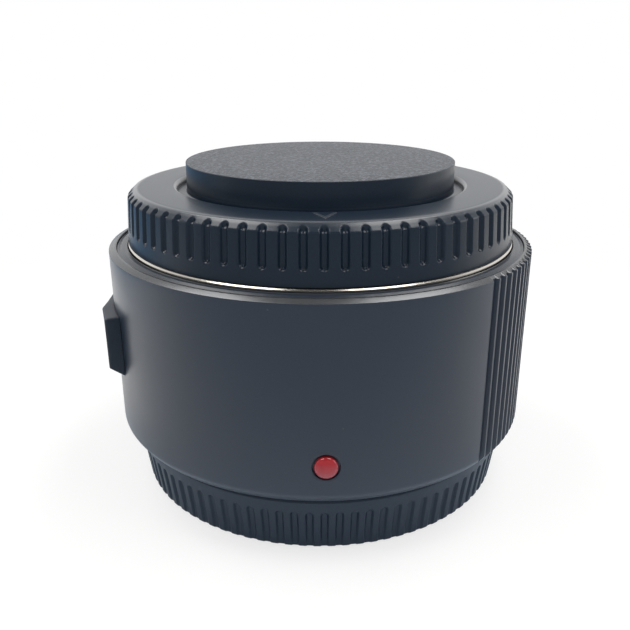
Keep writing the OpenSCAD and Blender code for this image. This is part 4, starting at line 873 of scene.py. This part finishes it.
cap_outline.append((CAP_CORNER.x, CAP_CORNER.y, 0.3, "slot"))
for step in SLOPE_ROWS:
    way = CAP_CORNER + CAP_SLOPE * step
    cap_outline.append((way.x, way.y, 0, "slot"))
cap_outline += [(CREST_R, CREST_Z, 0.4, ""), (CREST_IN_R, CAP_TOP, 0.3, "")]
cap_outline += [(r, CAP_TOP, 0, "") for r in (26.6, 24.8, MOAT_R)]
for i in range(1, MOAT_STEPS + 1):
    a = math.radians(90 + 90 * i / MOAT_STEPS)
    z = MOAT_FLOOR + (CAP_TOP - MOAT_FLOOR) * math.sin(a)
    cap_outline.append((MOAT_R + MOAT_LIP * math.cos(a), z, 0, ""))
cap_outline += [(DISC_R, MOAT_FLOOR, 0.3, ""), (DISC_R, 48.5, 0, ""), (DISC_R, DISC_TOP, 0.14, "")]
cap_outline += [(DISC_R * share / 3, DISC_TOP, 0, "") for share in (2, 1, 0)]


def cap_shape(tag, r, az, z):
    if tag == "lug" and abs(from_middle(az, LUGS)) <= LUG_SPAN / 2:
        return LUG_R, z
    if tag != "slot":
        return r, z
    u = math.radians(from_middle(az, CAP_SLOTS, CAP_SLOT_TURN)) * CAP_WALL_R
    along = z if z < CAP_CORNER.y else CAP_CORNER.y + (z - CAP_CORNER.y) / CAP_SLOPE.y
    off = math.hypot(u, max(CAP_SLOT_LOW - along, along - CAP_SLOT_HIGH, 0.0))
    hollow = CAP_SLOT_EVEN + (1 - CAP_SLOT_EVEN) * max(0.0, 1 - (off / CAP_SLOT_HALF) ** 2)
    depth = CAP_SLOT_DEPTH * hollow * smooth_step(*CAP_SLOT_LIP, CAP_SLOT_HALF - off)
    # The floor of the slot bends over with the shoulder
    lean = math.radians(CAP_LEAN) * smooth_step(*CAP_LEAN_RUN, along)
    return r - depth * math.cos(lean), z - depth * math.sin(lean)


cap_across = [-CAP_MIDWAY] + [-u for u in reversed(CAP_STEPS)] + [0, *CAP_STEPS]
cap_steps = [math.degrees(u / CAP_WALL_R) for u in cap_across]
front_cap = lathe("front_cap_moulding", rounded(cap_outline),
                  repeat_angles(CAP_SLOTS, cap_steps, CAP_SLOT_TURN), cap_shape,
                  sharp=42.0, every=CAP_PLAIN_EVERY)

FACE_SPAN = (50.95 * MM, 51.01 * MM)
FACE_GRAIN_SPARKLE_SPAN = (0.47, 0.64)
FACE_COAT, FACE_RELIEF = 0.14, 0.3 * MM
CREST_RISE, CREST_FALL = (46.9 * MM, 47.15 * MM), (47.45 * MM, 47.49 * MM)
CREST_COAT, CAP_COAT_ROUGH = 0.8, 0.3
SIDE_RELIEF = (0.488, 0.512)
disc_black, tree, shader = plain_material("cap_black_disc")
fine = group_node(tree, GRAIN, Scale=5200.0)["Height"]
coarse = group_node(tree, GRAIN, Scale=2300.0)["Height"]
height = coordinates(tree)[1]["Z"]
face = mapped(tree, height, FACE_SPAN)
side_tone = mixed(tree, mapped(tree, fine, GRAIN_SPAN),
                  (0.0078, 0.0165, 0.0295), (0.0112, 0.021, 0.0365))
# The disc's face: real spark grain whose raised points are painted far lighter, a painted sparkle
# highlight that also lightens the whole face.
face_grain_and_sparkle_tone = mixed(tree, mapped(tree, coarse, FACE_GRAIN_SPARKLE_SPAN),
                  (0.003, 0.0085, 0.0185), (0.102, 0.115, 0.142))
cap_tone = dusted(tree, mixed(tree, face, side_tone, face_grain_and_sparkle_tone), CAP_DUST)
tree.links.new(cap_tone, shader.inputs["Base Color"])
tree.links.new(mapped(tree, face, (0, 1), (0.29, 0.47)), shader.inputs["Roughness"])
# Handling has polished the crest of the shoulder
crest = worked(tree, "MULTIPLY", mapped(tree, height, CREST_RISE, (0, CREST_COAT)),
               mapped(tree, height, CREST_FALL, (1, 0)))
sheen = worked(tree, "ADD", crest, mapped(tree, face, (0, 1), (0, FACE_COAT)))
tree.links.new(sheen, shader.inputs["Coat Weight"])
shader.inputs["Coat Roughness"].default_value = CAP_COAT_ROUGH
shader.inputs["Specular IOR Level"].default_value = 0.45
relief = mixed(tree, face, mapped(tree, fine, (0, 1), SIDE_RELIEF), coarse, "FLOAT")
bumped(tree, shader, relief, 0.85, FACE_RELIEF)
front_cap.data.materials.append(disc_black)
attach(front_cap, "front_cap")
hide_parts("front_cap")

CHEVRON_TIP, CHEVRON_REACH, CHEVRON_HALF = 27.45, 3.5, 1.6
CHEVRON_W, CHEVRON_CUT = 0.6, 0.4
CHEVRON_SUNK, CHEVRON_SIDE, CHEVRON_H, CHEVRON_EDGE = 0.05, 0.06, 0.1, 0.05
arm = Vector((CHEVRON_HALF, CHEVRON_REACH)).normalized()
arm_end = CHEVRON_REACH - CHEVRON_TIP
arm_cut = arm_end + CHEVRON_W * arm.x * CHEVRON_CUT
arm_in = CHEVRON_HALF - CHEVRON_W * arm.y
chevron_verts = []
for grow, rise in ((0, -CHEVRON_SUNK), (0, CHEVRON_SIDE), (CHEVRON_EDGE, CHEVRON_H)):
    outline = [
        (0, -CHEVRON_TIP + grow / arm.x), (CHEVRON_HALF - grow, arm_end), (arm_in + grow, arm_cut),
        (0, -CHEVRON_TIP + CHEVRON_W / arm.x - grow / arm.x), (-arm_in - grow, arm_cut),
        (-CHEVRON_HALF + grow, arm_end),
    ]
    chevron_verts += [Vector((x, y, CAP_TOP + rise)) * MM for x, y in outline]
chevron_faces = tube_faces(3, 6)
for level in (0, 12):
    chevron_faces += [tuple(level + j for j in half) for half in ((0, 1, 2, 3), (0, 3, 4, 5))]
chevron = finish_mesh("cap_index_chevron", chevron_verts, chevron_faces, 30.0)
# The chevron's black is painted lighter than the cap's, a painted highlight for the light its
# raised edges catch.
mark_painted_light = grained("cap_mark_painted_light", (0.022, 0.03, 0.042), (0.034, 0.043, 0.056),
                    rough=(0.4, 0.5), scale=5200.0, bump=0.1, specular=0.45)
chevron.data.materials.append(mark_painted_light)
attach(chevron, "front_cap")

# Studio. A white floor that fades out round the object and a white surround with a dimmer ceiling,
# two soft lamps overhead with a gap between them, a wide front lamp kept out of reflections and a
# weak one at the right. Reflections see the floor with painted shade in front, a painted cool light
# at the far left and a painted pool of light round the object's foot.
FLOOR_HALF, FLOOR_Z = 3, -0.02 * MM
FLOOR_NEAR, FLOOR_FAR = 0.07, 0.15
FLOOR_SEEN, FLOOR_GLOW = (0.35, 0.35, 0.35), 0.67
# Floor colours seen only in reflections: painted shade in front, painted cool light at the far left
# and a painted pool of light at the foot that lifts its shadow.
FRONT_SHADE_TONE, BACK_TONE, FRONT_RUN = (0.345, 0.385, 0.435), (0.95, 0.95, 0.95), (-0.09, 0.03)
COOL_LIGHT_TONE, COOL_X, COOL_Y = (0.2, 0.37, 0.6), (-0.15, -0.115), (-0.03, 0.06)
FOOT_LIGHT_TONE, FOOT_RUN = (0.7, 0.79, 0.9), (0.042, 0.052)
floor_corners = [(-1, -1), (1, -1), (1, 1), (-1, 1)]
floor_mesh = bpy.data.meshes.new("floor")
floor_mesh.from_pydata([(x * FLOOR_HALF, y * FLOOR_HALF, FLOOR_Z) for x, y in floor_corners], [],
                       [(0, 1, 2, 3)])
floor = bpy.data.objects.new("floor", floor_mesh)
bpy.context.scene.collection.objects.link(floor)
floor_white, tree, shader = plain_material("floor_white")
path = tree.nodes.new("ShaderNodeLightPath").outputs
place, split = coordinates(tree)
reach = distance(tree, place)
tone = mixed(tree, mapped(tree, split["Y"], FRONT_RUN), FRONT_SHADE_TONE, BACK_TONE)
far_left = mapped(tree, split["X"], COOL_X, (1, 0))
cool_light_mask = worked(tree, "MULTIPLY", far_left, mapped(tree, split["Y"], COOL_Y))
tone = mixed(tree, cool_light_mask, tone, COOL_LIGHT_TONE)
tone = mixed(tree, mapped(tree, reach, FOOT_RUN, (1, 0)), tone, FOOT_LIGHT_TONE)
tone = mixed(tree, path["Is Camera Ray"], tone, FLOOR_SEEN)
tree.links.new(tone, shader.inputs["Base Color"])
shader.inputs["Emission Color"].default_value = (1, 1, 1, 1)
glow = mapped(tree, path["Is Camera Ray"], (0, 1), (0, FLOOR_GLOW))
tree.links.new(glow, shader.inputs["Emission Strength"])
shader.inputs["Roughness"].default_value = 0.9
shader.inputs["Specular IOR Level"].default_value = 0.0
far = worked(tree, "MULTIPLY", mapped(tree, reach, (FLOOR_NEAR, FLOOR_FAR)), path["Is Camera Ray"])
clear = tree.nodes.new("ShaderNodeBsdfTransparent")
fade = tree.nodes.new("ShaderNodeMixShader")
tree.links.new(far, fade.inputs["Fac"])
tree.links.new(shader.outputs["BSDF"], fade.inputs[1])
tree.links.new(clear.outputs["BSDF"], fade.inputs[2])
tree.links.new(fade.outputs["Shader"], tree.nodes["Material Output"].inputs["Surface"])
floor.data.materials.append(floor_white)

WORLD_LIGHT = 0.3
CEILING_RUN, CEILING_DIM = (0.45, 0.85), 0.22
FRONT_WALL_RUN, FRONT_WALL_DIM = (-0.4, 0.2), 0.3
world = bpy.data.worlds.new("surround")
world.use_nodes = True
tree = world.node_tree
tree.nodes.clear()
out = tree.nodes.new("ShaderNodeOutputWorld")
sky = tree.nodes.new("ShaderNodeBackground")
sky.inputs["Color"].default_value = (1, 1, 1, 1)
path = tree.nodes.new("ShaderNodeLightPath").outputs
split = coordinates(tree, "Generated")[1]
glow = worked(tree, "MULTIPLY", mapped(tree, split["Z"], CEILING_RUN, (1.0, CEILING_DIM)),
              mapped(tree, split["Y"], FRONT_WALL_RUN, (FRONT_WALL_DIM, 1.0)))
mirrored = mixed(tree, path["Is Glossy Ray"], WORLD_LIGHT, glow, "FLOAT")
direct = worked(tree, "MAXIMUM", path["Is Camera Ray"], path["Is Transmission Ray"])
tree.links.new(mixed(tree, direct, mirrored, 1.0, "FLOAT"), sky.inputs["Strength"])
tree.links.new(sky.outputs["Background"], out.inputs["Surface"])
bpy.context.scene.world = world


def soft_lamp(name, place, target, size, power, colour=(1.0, 1.0, 1.0), in_gloss=True):
    data = bpy.data.lights.new(name, "AREA")
    data.shape = "RECTANGLE"
    data.size, data.size_y = size
    data.energy = power
    data.color = colour
    lamp = bpy.data.objects.new(name, data)
    lamp.location = place
    lamp.rotation_euler = (Vector(target) - Vector(place)).to_track_quat("-Z", "Y").to_euler()
    lamp.visible_camera = False
    lamp.visible_glossy = in_gloss
    bpy.context.scene.collection.objects.link(lamp)


OVER_SIZE, OVER_POWER, OVER_COLOUR = (0.44, 0.2), 1.3, (1.0, 0.985, 0.965)
OBJECT_MIDDLE = (0, 0, 0.03)
soft_lamp("lamp_over_left", (-0.235, 0.03, 0.46), (-0.1, 0.03, 0.03),
          OVER_SIZE, OVER_POWER, OVER_COLOUR)
soft_lamp("lamp_over_right", (0.185, 0.03, 0.46), (0.08, 0.03, 0.03),
          OVER_SIZE, OVER_POWER, OVER_COLOUR)
soft_lamp("lamp_front", (0.0, -0.75, 0.4), OBJECT_MIDDLE, (0.7, 0.35), 1.9, in_gloss=False)
soft_lamp("lamp_right", (0.42, -0.02, 0.18), OBJECT_MIDDLE, (0.2, 0.22), 0.2)

# Camera. A near view from a little above, with the index mark almost straight ahead. It stands on
# the line that was solved from the object's round edges, and looks down along it.
CAMERA_X, CAMERA_Y, CAMERA_Z = -0.00275, -0.11754, 0.06818
CAMERA_TILT = 20.33
CAMERA_REACH = 0.117576
camera_data = bpy.data.cameras.new("camera")
camera_data.sensor_width = 36.0
camera_data.lens = 42.03
camera_data.shift_x = -0.00845
camera_data.clip_start = 0.005
camera = bpy.data.objects.new("camera", camera_data)
camera.location = (CAMERA_X, CAMERA_Y, CAMERA_Z)
aim = Vector((-CAMERA_X, -CAMERA_Y, -CAMERA_REACH * math.tan(math.radians(CAMERA_TILT))))
camera.rotation_mode = "QUATERNION"
camera.rotation_quaternion = aim.to_track_quat("-Z", "Y")
bpy.context.scene.collection.objects.link(camera)
bpy.context.scene.camera = camera
bpy.context.scene.view_settings.view_transform = "Standard"
